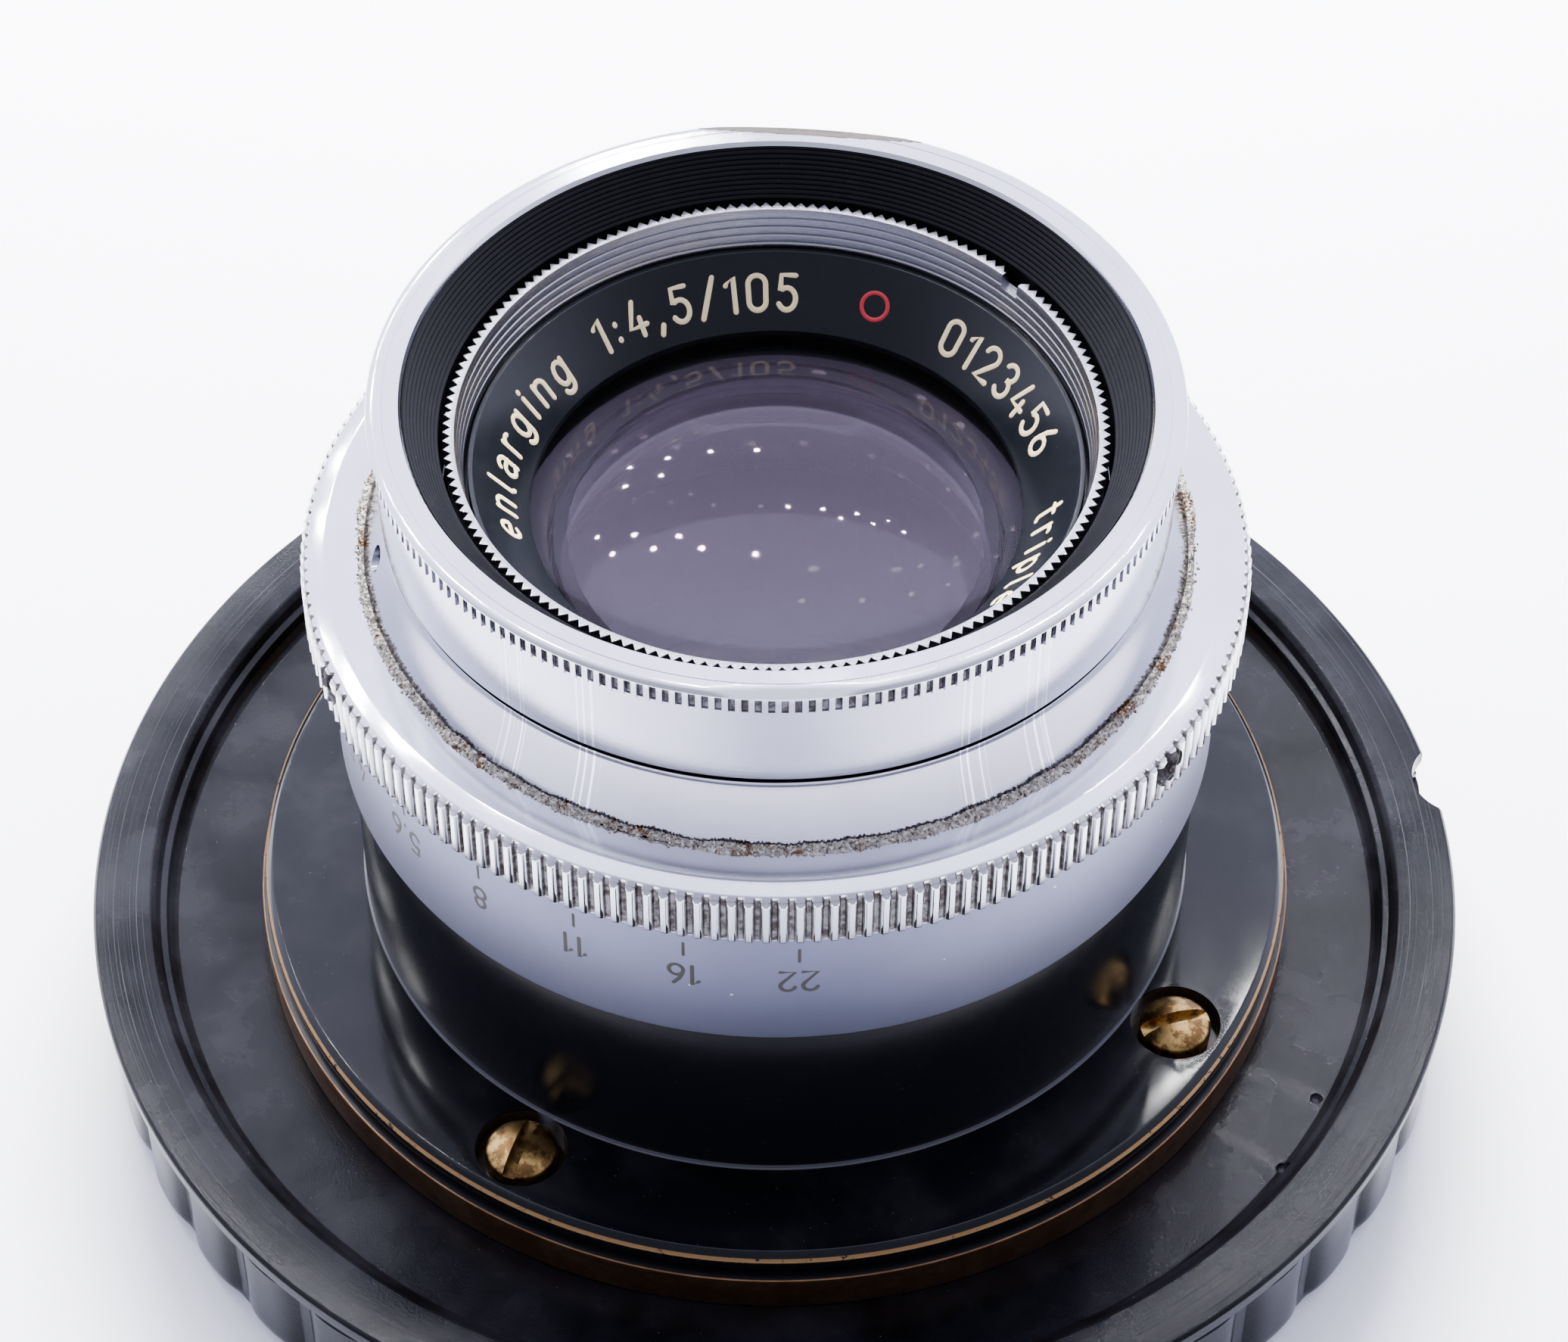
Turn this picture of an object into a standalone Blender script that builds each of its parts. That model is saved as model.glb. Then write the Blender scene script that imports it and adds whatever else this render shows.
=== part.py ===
"""Enlarging lens, 105 mm f/4.5, screwed through its flange to a round moulded lens mount.

The optical axis is +Z and the front glass faces up. The origin is on the axis, in the plane that the
skirt of the mount stands on. Outlines are lists of (radius, depth), both in millimetres, where depth is
measured down from the front rim, the way such a barrel is dimensioned on a lathe drawing.
"""

import math

import bmesh
import bpy
from mathutils import Matrix, Vector

MM = 0.001

# Driving dimensions, millimetres and degrees
HEIGHT = 48.6            # front rim to the bottom of the skirt
GAP = 0.3                # clearance between pieces that touch on the real object
RUN = 0.1                # radial running clearance of the aperture ring

RIM_R = 22.2             # front hood, outside
RIM_BORE_R = 20.25       # front hood, mouth of the ribbed funnel
BARREL_R = 21.8          # chromed barrel, outside, under the hood
FOOT_R = 23.0            # and at its foot, inside the aperture ring
FLARE_TOP = 7.5          # the wall widens between these depths
FLARE_BOTTOM = 10.9
RING_R = 26.6            # aperture ring over its knurl
RING_TOP = 10.95
RING_BOTTOM = 14.7
BODY_R = 25.4            # satin lower body
BODY_BOTTOM = 24.3
REAR_R = 24.8            # black rear barrel
SHOULDER = 37.0          # its seat on the flange
NECK_R = 19.7            # threaded neck through flange and mount
NECK_BOTTOM = 47.3

FLANGE_R = 30.9
FLANGE_TOP = SHOULDER + GAP
BASE_RING_R = 31.2
BASE_RING_TOP = 39.4
FLOOR_TOP = 41.7         # dish floor of the mount
FLOOR_BOTTOM = 44.0
MOUNT_R = 41.45
MOUNT_TOP = 39.5
SKIRT_R = 40.6
RIB_R = 41.2
RIBS = 44

SCREW_CIRCLE_R = 27.5
SCREW_ANGLES = (-121.5, -31.5, 58.5, 148.5)
SLOT_DIRECTIONS = (71.0, 16.0, 110.0, 35.0)   # of the slots in the four heads, from +X
SCREW_HEAD_R = 2.08
COUNTERBORE_R = 2.65
COUNTERBORE_FLOOR = 38.4
SCREW_SHANK_R = 1.25
SCREW_HOLE_R = SCREW_SHANK_R + GAP

GRUB_ANGLES = (-157.0, -37.0, 83.0)
GRUB_R = 1.0
GRUB_DEPTH = 12.6
PIN_ANGLE = 20.0         # drive pin at full aperture
PIN_R = 0.6
PIN_DEPTH = 13.85
RING_TRAVEL = 70.0       # degrees from f/4.5 to f/22

BLADES = 8
BLADE_TOP = 16.8
BLADE_THICKNESS = 0.12
BLADE_STEP = 0.2
BLADE_PIVOT_R = 16.6
BLADE_INNER_R = 11.7
BLADE_OUTER_R = 17.8
BLADE_SPAN = 112.0       # degrees of arc covered by one blade

FINE = 72                # facets round the larger rings
COARSE = 48
INNER = 36               # facets of the pieces inside the barrel
SMALL = 12


def material(name, colour, roughness, metallic, transmission=0.0):
    made = bpy.data.materials.new(name)
    made.use_nodes = True
    shader = made.node_tree.nodes["Principled BSDF"]
    shader.inputs["Base Color"].default_value = (*colour, 1.0)
    shader.inputs["Roughness"].default_value = roughness
    shader.inputs["Metallic"].default_value = metallic
    shader.inputs["Transmission Weight"].default_value = transmission
    made.diffuse_color = (*colour, 1.0)
    return made


def finish(name, bm, look):
    """Closes a bmesh into a named object with outward faces and smooth round sides."""
    bmesh.ops.remove_doubles(bm, verts=bm.verts, dist=1e-6)
    bmesh.ops.dissolve_degenerate(bm, edges=bm.edges, dist=1e-6)
    bmesh.ops.recalc_face_normals(bm, faces=bm.faces)
    mesh = bpy.data.meshes.new(name)
    bm.to_mesh(mesh)
    bm.free()
    mesh.materials.append(look)
    mesh.shade_smooth()
    mesh.set_sharp_from_angle(angle=math.radians(32))
    made = bpy.data.objects.new(name, mesh)
    bpy.context.collection.objects.link(made)
    return made


def turned(name, outline, look, steps=COARSE, shape=None):
    """Spins a closed outline of (radius, depth) about the axis. An outline that starts and ends on the
    axis makes a solid piece. shape(radius, depth, angle) gives a new radius, for knurls and ribs."""
    bm = bmesh.new()
    verts = [bm.verts.new((r * MM, 0.0, (HEIGHT - depth) * MM)) for r, depth in outline]
    on_axis = outline[0][0] == 0.0 and outline[-1][0] == 0.0
    pairs = list(zip(verts, verts[1:]))
    if not on_axis:
        pairs.append((verts[-1], verts[0]))
    edges = [bm.edges.new(pair) for pair in pairs]
    bmesh.ops.spin(bm, geom=verts + edges, cent=(0, 0, 0), axis=(0, 0, 1), angle=math.tau,
                   steps=steps, use_merge=True)
    if shape:
        for v in bm.verts:
            radius = math.hypot(v.co.x, v.co.y) / MM
            new = shape(radius, HEIGHT - v.co.z / MM, math.atan2(v.co.y, v.co.x))
            v.co.x *= new / radius
            v.co.y *= new / radius
    return finish(name, bm, look)


def cylinder(name, radius, length, look, steps=SMALL):
    """A plain cylinder, centred, along its own Z."""
    bm = bmesh.new()
    bmesh.ops.create_cone(bm, cap_ends=True, segments=steps, radius1=radius * MM, radius2=radius * MM,
                          depth=length * MM)
    return finish(name, bm, look)


def block(name, size, look):
    bm = bmesh.new()
    bmesh.ops.create_cube(bm, size=1.0, matrix=Matrix.Diagonal((*(Vector(size) * MM), 1.0)))
    return finish(name, bm, look)


def at(obj, radius, angle, depth, radial=False, spin=0.0):
    """Places a piece at a radius, angle and depth; radial turns its own Z to point outwards, and spin
    turns it about its own Z."""
    turn = Matrix.Rotation(math.radians(angle), 4, "Z")
    tilt = Matrix.Rotation(math.radians(90), 4, "Y") if radial else Matrix.Identity(4)
    shift = Matrix.Translation((radius * MM, 0.0, (HEIGHT - depth) * MM))
    obj.matrix_world = turn @ shift @ tilt @ Matrix.Rotation(math.radians(spin), 4, "Z")
    return obj


def cut(target, cutter):
    """Subtracts a cutter, which stays in the file as a hidden wire object."""
    cutter.hide_render = True
    cutter.display_type = "WIRE"
    modifier = target.modifiers.new("cut_" + cutter.name, "BOOLEAN")
    modifier.object = cutter
    modifier.operation = "DIFFERENCE"
    modifier.solver = "EXACT"


def sphere_sag(radius, curve):
    return curve - math.sqrt(curve * curve - radius * radius)


def lens_face(edge_r, vertex, curve, count):
    """Points of a spherical face from the axis to its edge. curve > 0 falls away towards the rear."""
    points = []
    for i in range(count + 1):
        r = edge_r * i / count
        sag = sphere_sag(r, abs(curve))
        points.append((r, vertex + math.copysign(sag, curve)))
    return points


def glass_element(name, radius, front_vertex, front_curve, back_vertex, back_curve, look, count=3):
    """A glass element from the two vertices and the two signed radii of curvature."""
    front = lens_face(radius, front_vertex, front_curve, count)
    back = lens_face(radius, back_vertex, back_curve, count)
    return turned(name, front + back[::-1], look, steps=INNER)


# Materials
CHROME = material("polished_chrome", (0.78, 0.78, 0.80), 0.12, 1.0)
SILVER = material("turned_silver", (0.72, 0.72, 0.73), 0.3, 1.0)
SATIN = material("satin_chrome", (0.42, 0.42, 0.52), 0.38, 1.0)
BLACK_PAINT = material("black_lacquer", (0.012, 0.012, 0.016), 0.22, 0.0)
BLACK_MATT = material("black_anodised", (0.02, 0.02, 0.022), 0.5, 0.0)
BROWN_BRASS = material("tarnished_brass", (0.16, 0.09, 0.05), 0.4, 1.0)
SCREW_BRASS = material("bright_brass", (0.62, 0.52, 0.36), 0.3, 1.0)
STEEL = material("dark_steel", (0.16, 0.15, 0.15), 0.4, 1.0)
BLADE_STEEL = material("blued_steel", (0.05, 0.05, 0.06), 0.4, 1.0)
GLASS = material("coated_glass", (0.55, 0.48, 0.72), 0.02, 0.0, 1.0)
MOULDED = material("moulded_black", (0.045, 0.046, 0.055), 0.42, 0.0)


def front_hood():
    """Rim with a black ribbed funnel inside and a short fine knurl under the lip."""
    outline = [
        (RIM_BORE_R, 0.15), (RIM_BORE_R + 0.15, 0.0), (21.75, 0.0), (RIM_R, 0.25),
        (RIM_R, 1.3), (BARREL_R + 0.1, 1.45), (BARREL_R + 0.1, 6.85), (18.5, 6.85), (18.5, 2.5),
    ]
    return turned("front_hood", outline, CHROME, steps=FINE)


def retaining_ring():
    """Serrated ring that clamps the name ring; one key notch takes the spanner."""
    teeth = 48

    def serrate(radius, depth, angle):
        tooth = 0.5 + 0.5 * math.cos(angle * teeth)
        return radius - 0.35 * (1.0 - tooth) if radius > 18.1 else radius

    outline = [
        (17.8, 2.65), (18.16, 2.65), (18.16, 3.1), (18.0, 5.7), (17.25, 5.7), (17.25, 5.0),
    ]
    ring = turned("retaining_ring", outline, SILVER, steps=2 * teeth, shape=serrate)
    cut(ring, at(block("cutter_key_notch", (1.4, 1.3, 1.2), SILVER), 18.0, 41.5, 2.8))
    return ring


def name_ring():
    outline = [
        (16.75, 5.1), (16.95, 5.1), (16.95, 6.0), (18.1, 6.0), (18.1, 9.0), (13.65, 9.0), (13.65, 8.6),
    ]
    return turned("name_ring", outline, BLACK_MATT)


def front_cell():
    """Screws into the barrel; carries the front glass above and the middle glass below."""
    outline = [
        (15.8, 9.3), (18.1, 9.3), (18.1, 12.7), (14.1, 12.7), (14.1, 16.3), (11.2, 16.3),
        (11.2, 15.95), (12.3, 15.95), (12.3, 11.9), (15.8, 11.9),
    ]
    return turned("front_cell", outline, BLACK_MATT)


def spacer_ring():
    return turned("spacer_ring", [(11.2, 11.9), (12.0, 11.9), (12.0, 12.4), (11.2, 12.4)],
                  BLACK_MATT, steps=INNER)


def flared_wall(steps=3):
    """Points of the barrel's hollow flare, from under the hood to the foot."""
    points = []
    for i in range(steps + 1):
        t = i / steps
        points.append((BARREL_R + (FOOT_R - BARREL_R) * t ** 1.25, FLARE_TOP + (FLARE_BOTTOM - FLARE_TOP) * t))
    return points


def main_barrel():
    """Chromed tube; a slot lets the drive pin of the aperture ring through to the iris."""
    outline = [(18.4, 7.15), (BARREL_R, 7.15)] + flared_wall() + [
        (FOOT_R, 14.9), (20.5, 14.9), (20.5, 24.0), (16.8, 24.0),
        (16.8, 34.0), (14.5, 34.0), (14.5, 19.8), (18.4, 19.8),
    ]
    barrel = turned("main_barrel", outline, CHROME)
    cut(barrel, pin_slot())
    cut(barrel, at(cylinder("cutter_set_screw_hole", GRUB_R, 5.0, CHROME), BARREL_R, -170.0, 9.3, True))
    return barrel


def pin_slot():
    """Curved cutter as wide as the pin plus clearance, as long as the ring's travel."""
    bm = bmesh.new()
    half = PIN_R + 2 * RUN
    low, high = HEIGHT - PIN_DEPTH - half, HEIGHT - PIN_DEPTH + half
    margin = math.degrees(2.0 * half / BARREL_R)
    corners = [(17.5, low), (FOOT_R + 1.0, low), (FOOT_R + 1.0, high), (17.5, high)]
    start = Matrix.Rotation(math.radians(PIN_ANGLE - margin), 4, "Z")
    verts = [bm.verts.new(start @ Vector((r * MM, 0.0, z * MM))) for r, z in corners]
    face = bm.faces.new(verts)
    bmesh.ops.spin(bm, geom=[face], cent=(0, 0, 0), axis=(0, 0, 1),
                   angle=math.radians(RING_TRAVEL + 2 * margin), steps=14)
    return finish("cutter_pin_slot", bm, STEEL)


def barrel_set_screw():
    return at(cylinder("barrel_set_screw", GRUB_R - GAP, 2.2, STEEL), BARREL_R - 1.4, -170.0, 9.3, True)


def aperture_ring():
    """Wide ring with a coarse straight knurl, turned by hand to open and close the iris."""
    teeth = 60

    def knurl(radius, depth, angle):
        groove = 0.35 if math.cos(angle * teeth) < 0.0 else 0.0
        return radius - groove if radius > RING_R - 0.1 and depth > RING_TOP + 0.4 else radius

    inner = FOOT_R + RUN
    outline = [
        (inner, RING_TOP + 0.2), (inner + 0.8, RING_TOP), (26.1, RING_TOP), (RING_R, RING_TOP + 0.5),
        (RING_R, RING_BOTTOM - 0.2), (26.2, RING_BOTTOM), (inner, RING_BOTTOM),
    ]
    ring = turned("aperture_ring", outline, CHROME, steps=2 * teeth, shape=knurl)
    for i, angle in enumerate(GRUB_ANGLES):
        hole = cylinder(f"cutter_grub_hole_{i + 1}", GRUB_R + RUN, 8.0, CHROME)
        cut(ring, at(hole, RING_R, angle, GRUB_DEPTH, True))
    pin_hole = cylinder("cutter_ring_pin_hole", PIN_R + RUN, 4.0, CHROME)
    cut(ring, at(pin_hole, FOOT_R + 0.5, PIN_ANGLE, PIN_DEPTH, True))
    return ring


def ring_grub_screws():
    for i, angle in enumerate(GRUB_ANGLES):
        screw = cylinder(f"ring_grub_screw_{i + 1}", GRUB_R, 2.2, STEEL)
        at(screw, RING_R - 2.0, angle, GRUB_DEPTH, True)


def drive_pin():
    return at(cylinder("drive_pin", PIN_R, 7.0, STEEL), 20.6, PIN_ANGLE, PIN_DEPTH, True)


def iris_drive_ring():
    """Turns inside the barrel with the pin and swings the blades."""
    ring = turned("iris_drive_ring", [(14.4, 13.0), (18.1, 13.0), (18.1, 16.5), (14.4, 16.5)], BLACK_MATT,
                  steps=INNER)
    cut(ring, at(cylinder("cutter_drive_pin_hole", PIN_R + RUN, 4.0, STEEL), 18.5, PIN_ANGLE, PIN_DEPTH,
                 True))
    return ring


def iris_plate():
    return turned("iris_plate", [(12.2, 18.7), (18.1, 18.7), (18.1, 19.5), (12.2, 19.5)], BLACK_MATT,
                  steps=INNER)


def iris_blades():
    """Thin crescents, each on its own level, each with its origin on its own pivot."""
    arc = 14
    for i in range(BLADES):
        bm = bmesh.new()
        low = HEIGHT - BLADE_TOP - BLADE_STEP * i - BLADE_THICKNESS
        outer = [(BLADE_OUTER_R, BLADE_SPAN * k / arc - 4.0) for k in range(arc + 1)]
        inner = [(BLADE_INNER_R, BLADE_SPAN * k / arc - 4.0) for k in reversed(range(arc + 1))]
        verts = []
        for r, degrees in outer + inner:
            a = math.radians(degrees)
            verts.append(bm.verts.new((r * math.cos(a) * MM - BLADE_PIVOT_R * MM, r * math.sin(a) * MM, 0)))
        face = bm.faces.new(verts)
        sheet = bmesh.ops.extrude_face_region(bm, geom=[face])
        top = [v for v in sheet["geom"] if isinstance(v, bmesh.types.BMVert)]
        bmesh.ops.translate(bm, verts=top, vec=(0, 0, BLADE_THICKNESS * MM))
        bmesh.ops.triangulate(bm, faces=bm.faces)
        blade = finish(f"iris_blade_{i + 1}", bm, BLADE_STEEL)
        turn = Matrix.Rotation(math.tau * i / BLADES, 4, "Z")
        blade.matrix_world = turn @ Matrix.Translation((BLADE_PIVOT_R * MM, 0.0, low * MM))


def lower_body():
    """Satin sleeve under the aperture ring; it carries the aperture scale."""
    outline = [
        (20.8, 15.0), (BODY_R, 15.0), (BODY_R, BODY_BOTTOM - 0.15), (BODY_R - 0.15, BODY_BOTTOM),
        (23.9, BODY_BOTTOM), (23.9, 16.5), (20.8, 16.5),
    ]
    return turned("lower_body", outline, SATIN, steps=FINE)


def rear_barrel():
    """Black lacquered tube with the threaded neck that goes through the flange."""
    outline = [
        (22.2, 20.0), (23.6, 20.0), (23.6, 24.6), (REAR_R, 24.6), (REAR_R, SHOULDER), (NECK_R, SHOULDER),
        (NECK_R, NECK_BOTTOM), (17.1, NECK_BOTTOM), (17.1, 35.4), (22.2, 35.4),
    ]
    return turned("rear_barrel", outline, BLACK_PAINT)


def screw_holes(target, prefix, radius, centre, length):
    for i, angle in enumerate(SCREW_ANGLES):
        hole = cylinder(f"cutter_{prefix}_{i + 1}", radius, length, STEEL)
        cut(target, at(hole, SCREW_CIRCLE_R, angle, centre))


def flange():
    outline = [
        (NECK_R + GAP, FLANGE_TOP), (30.4, FLANGE_TOP), (FLANGE_R, 37.9), (FLANGE_R, 38.4), (30.3, 38.5),
        (30.3, 39.1), (NECK_R + GAP, 39.1),
    ]
    disc = turned("flange", outline, BLACK_PAINT, steps=FINE)
    screw_holes(disc, "flange_hole", SCREW_HOLE_R, 38.0, 6.0)
    reach = 4.0
    screw_holes(disc, "counterbore", COUNTERBORE_R, COUNTERBORE_FLOOR - reach / 2, reach)
    return disc


def flange_base_ring():
    outline = [
        (NECK_R + GAP, BASE_RING_TOP), (BASE_RING_R, BASE_RING_TOP), (BASE_RING_R, FLOOR_TOP - GAP),
        (NECK_R + GAP, FLOOR_TOP - GAP),
    ]
    ring = turned("flange_base_ring", outline, BROWN_BRASS)
    screw_holes(ring, "base_ring_hole", SCREW_HOLE_R, 40.4, 6.0)
    return ring


def flange_screws():
    """Round-head slotted screws down into the floor of the mount."""
    seat = COUNTERBORE_FLOOR - GAP
    dome = [(0.0, 36.75), (0.8, 36.83), (1.5, 37.1), (SCREW_HEAD_R, 37.6)]
    shank = [(SCREW_HEAD_R, seat), (SCREW_SHANK_R, seat), (SCREW_SHANK_R, FLOOR_BOTTOM - GAP),
             (0.0, FLOOR_BOTTOM - GAP)]
    for i, (angle, direction) in enumerate(zip(SCREW_ANGLES, SLOT_DIRECTIONS)):
        screw = turned(f"flange_screw_{i + 1}", dome + shank, SCREW_BRASS, steps=SMALL)
        at(screw, SCREW_CIRCLE_R, angle, HEIGHT)
        cutter = block(f"cutter_slot_{i + 1}", (6.0, 0.7, 1.2), SCREW_BRASS)
        cut(screw, at(cutter, SCREW_CIRCLE_R, angle, 36.85, spin=direction - angle))


def lens_mount():
    """Moulded dish with a flat rim, an edge notch and a fluted grip skirt."""
    steps_per_rib = 3

    def flute(radius, depth, angle):
        in_valley = math.cos(angle * RIBS) > 0.5
        return RIB_R if abs(radius - SKIRT_R) < 0.01 and not in_valley else radius

    outline = [
        (38.0, MOUNT_TOP), (MOUNT_R, MOUNT_TOP), (MOUNT_R, 40.6), (SKIRT_R, 40.9),
        (SKIRT_R, 48.0), (SKIRT_R - 0.2, HEIGHT), (37.8, HEIGHT),
        (37.8, FLOOR_BOTTOM), (NECK_R + GAP, FLOOR_BOTTOM), (NECK_R + GAP, FLOOR_TOP), (36.6, FLOOR_TOP),
    ]
    mount = turned("lens_mount", outline, MOULDED, steps=steps_per_rib * RIBS, shape=flute)
    screw_holes(mount, "mount_hole", SCREW_HOLE_R, 42.8, 6.0)
    notch = cylinder("cutter_rim_notch", 3.0, 3.4, MOULDED, steps=24)
    cut(mount, at(notch, 43.1, 8.6, 40.0))
    return mount


def lock_ring():
    """Runs on the neck's thread behind the mount; two notches take a spanner."""
    ring = turned("lock_ring", [(NECK_R + GAP, 44.3), (25.5, 44.3), (25.5, 46.9), (NECK_R + GAP, 46.9)],
                  BLACK_PAINT, steps=INNER)
    for i, angle in enumerate((90.0, 270.0)):
        cut(ring, at(block(f"cutter_spanner_{i + 1}", (3.0, 2.0, 1.6), BLACK_PAINT), 25.2, angle, 47.0))
    return ring


def rear_cell():
    """Tube that holds the rear glass inside the barrel."""
    outline = [
        (12.9, 20.3), (14.2, 20.3), (14.2, 33.6), (12.0, 33.6), (12.0, 28.2), (10.8, 28.2), (10.8, 27.4),
        (12.9, 27.0),
    ]
    return turned("rear_cell", outline, BLACK_MATT, steps=INNER)


def rear_retaining_ring():
    return turned("rear_retaining_ring", [(10.8, 30.1), (11.7, 30.1), (11.7, 31.4), (10.8, 31.4)],
                  BLACK_MATT, steps=INNER)


def build():
    for old in list(bpy.data.objects):
        bpy.data.objects.remove(old, do_unlink=True)
    front_hood()
    retaining_ring()
    name_ring()
    glass_element("front_glass", 15.5, 6.2, 32.0, 11.6, -400.0, GLASS, count=5)
    front_cell()
    spacer_ring()
    glass_element("middle_glass", 12.0, 13.9, -60.0, 14.85, 90.0, GLASS)
    main_barrel()
    barrel_set_screw()
    aperture_ring()
    ring_grub_screws()
    drive_pin()
    iris_drive_ring()
    iris_blades()
    iris_plate()
    rear_cell()
    glass_element("rear_glass", 11.7, 28.0, 90.0, 31.3, -38.0, GLASS)
    rear_retaining_ring()
    lower_body()
    rear_barrel()
    flange()
    flange_base_ring()
    flange_screws()
    lens_mount()
    lock_ring()


build()
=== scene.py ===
"""Looks of the 105 mm enlarging lens on its moulded mount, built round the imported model.

Lengths are in millimetres and depths are measured down from the front rim, as on a lathe drawing.
The helpers turn them into metres in the model's frame.
"""

import math
import random

import bmesh
import bpy
from mathutils import Matrix, Vector, noise


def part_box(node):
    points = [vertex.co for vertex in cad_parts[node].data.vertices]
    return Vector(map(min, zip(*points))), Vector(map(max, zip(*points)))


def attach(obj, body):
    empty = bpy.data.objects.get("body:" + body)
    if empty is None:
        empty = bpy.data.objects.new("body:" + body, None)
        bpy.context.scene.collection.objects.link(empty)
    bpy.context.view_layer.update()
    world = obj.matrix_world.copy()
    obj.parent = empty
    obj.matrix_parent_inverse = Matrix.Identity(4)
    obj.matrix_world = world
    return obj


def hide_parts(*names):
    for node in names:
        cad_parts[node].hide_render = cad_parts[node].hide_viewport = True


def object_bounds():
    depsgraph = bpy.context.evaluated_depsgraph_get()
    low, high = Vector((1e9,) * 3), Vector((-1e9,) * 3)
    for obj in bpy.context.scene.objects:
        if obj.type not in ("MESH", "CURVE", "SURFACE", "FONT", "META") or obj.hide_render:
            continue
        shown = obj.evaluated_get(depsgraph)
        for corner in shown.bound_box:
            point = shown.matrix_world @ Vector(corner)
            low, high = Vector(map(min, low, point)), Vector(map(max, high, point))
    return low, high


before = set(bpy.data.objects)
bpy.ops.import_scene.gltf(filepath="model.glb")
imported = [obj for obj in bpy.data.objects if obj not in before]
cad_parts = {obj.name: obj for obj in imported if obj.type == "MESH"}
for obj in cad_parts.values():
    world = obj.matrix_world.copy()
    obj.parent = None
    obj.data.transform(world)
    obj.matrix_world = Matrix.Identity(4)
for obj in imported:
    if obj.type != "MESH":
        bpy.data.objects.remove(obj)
CAD_LOW, CAD_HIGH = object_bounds()

MM = 0.001
HEIGHT = CAD_HIGH.z / MM
LENS = "lens"
CONTROL = "aperture_control"


def reach(node):
    """Outer radius, top depth and bottom depth of a CAD node, in millimetres."""
    low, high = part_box(node)
    return high.x / MM, HEIGHT - high.z / MM, HEIGHT - low.z / MM


RIM_R = reach("front_hood")[0]
RING_R, RING_TOP, RING_BOTTOM = reach("aperture_ring")
BODY_R, BODY_TOP, BODY_BOTTOM = reach("lower_body")
REAR_R = reach("rear_barrel")[0]
FLANGE_R, FLANGE_TOP, FLANGE_BOTTOM = reach("flange")
BASE_R, BASE_TOP, BASE_BOTTOM = reach("flange_base_ring")
MOUNT_R, MOUNT_TOP, MOUNT_BOTTOM = reach("lens_mount")

BARREL_R = 21.8             # barrel under the hood
FOOT_R = 23.0               # barrel inside the aperture ring
FLARE_TOP, FLARE_BOTTOM = 7.5, 10.9
SHOULDER = 37.0             # foot of the rear barrel
LACQUER_R = 30.42           # edge of the flange's top face, where its bevel starts
FLOOR_DEPTH = 41.7          # dish floor of the mount
RIM_INNER_R = 38.0          # inner edge of the mount's flat rim

SCREW_CIRCLE_R = 27.5
SCREW_ANGLES = (-121.5, -31.5, 58.5, 148.5)
SLOT_ANGLES = (71.0, 16.0, 110.0, 35.0)
SHANK_HOLE_R = 1.55
HEAD_HOLE_R = 2.65
SEAT_DEPTH = 38.4           # floor of the counterbored screw holes
GRUB_ANGLES = (-157.0, -37.0, 83.0)
GRUB_DEPTH = 12.6

COARSE_TEETH = 185          # knurl of the aperture ring
FINE_TEETH = 204            # knurl of the hood
SERRATIONS = 168            # teeth of the retaining ring
RIBS = 44                   # grips of the mount's skirt
RIM_FLATS = ((85.0, 19.3), (-88.3, 14.7))   # centre and half angle of the two flats worn on the rim
FLAT_SLOPE = math.tan(math.radians(24.0))


# ---------------------------------------------------------------- geometry helpers

def point(radius, depth, degrees):
    a = math.radians(degrees)
    return Vector((radius * math.cos(a), radius * math.sin(a), HEIGHT - depth)) * MM


def rounded(outline, radius=0.08, steps=3):
    """A closed outline with every corner replaced by a small curve."""
    made = []
    count = len(outline)
    for i, corner in enumerate(outline):
        here = Vector(corner)
        before = Vector(outline[i - 1]) - here
        after = Vector(outline[(i + 1) % count]) - here
        cutback = min(radius, 0.4 * before.length, 0.4 * after.length)
        start = here + before.normalized() * cutback
        end = here + after.normalized() * cutback
        for k in range(steps + 1):
            t = k / steps
            made.append(tuple(start * (1 - t) ** 2 + here * 2 * t * (1 - t) + end * t * t))
    return made


def rotation(degrees, axis="Z"):
    return Matrix.Rotation(math.radians(degrees), 4, axis)


def add_object(name, data):
    made = bpy.data.objects.new(name, data)
    bpy.context.collection.objects.link(made)
    return made


def to_object(name, bm, material, sharp=30.0):
    bmesh.ops.recalc_face_normals(bm, faces=bm.faces)
    mesh = bpy.data.meshes.new(name)
    bm.to_mesh(mesh)
    bm.free()
    mesh.shade_smooth()
    mesh.set_sharp_from_angle(angle=math.radians(sharp))
    mesh.materials.append(material)
    return add_object(name, mesh)


def even(steps):
    return [math.tau * k / steps for k in range(steps)]


def toothed(teeth, fractions):
    """Angles that repeat the given fractions of one tooth's pitch all round."""
    pitch = math.tau / teeth
    return [pitch * (tooth + f) for tooth in range(teeth) for f in fractions]


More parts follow.
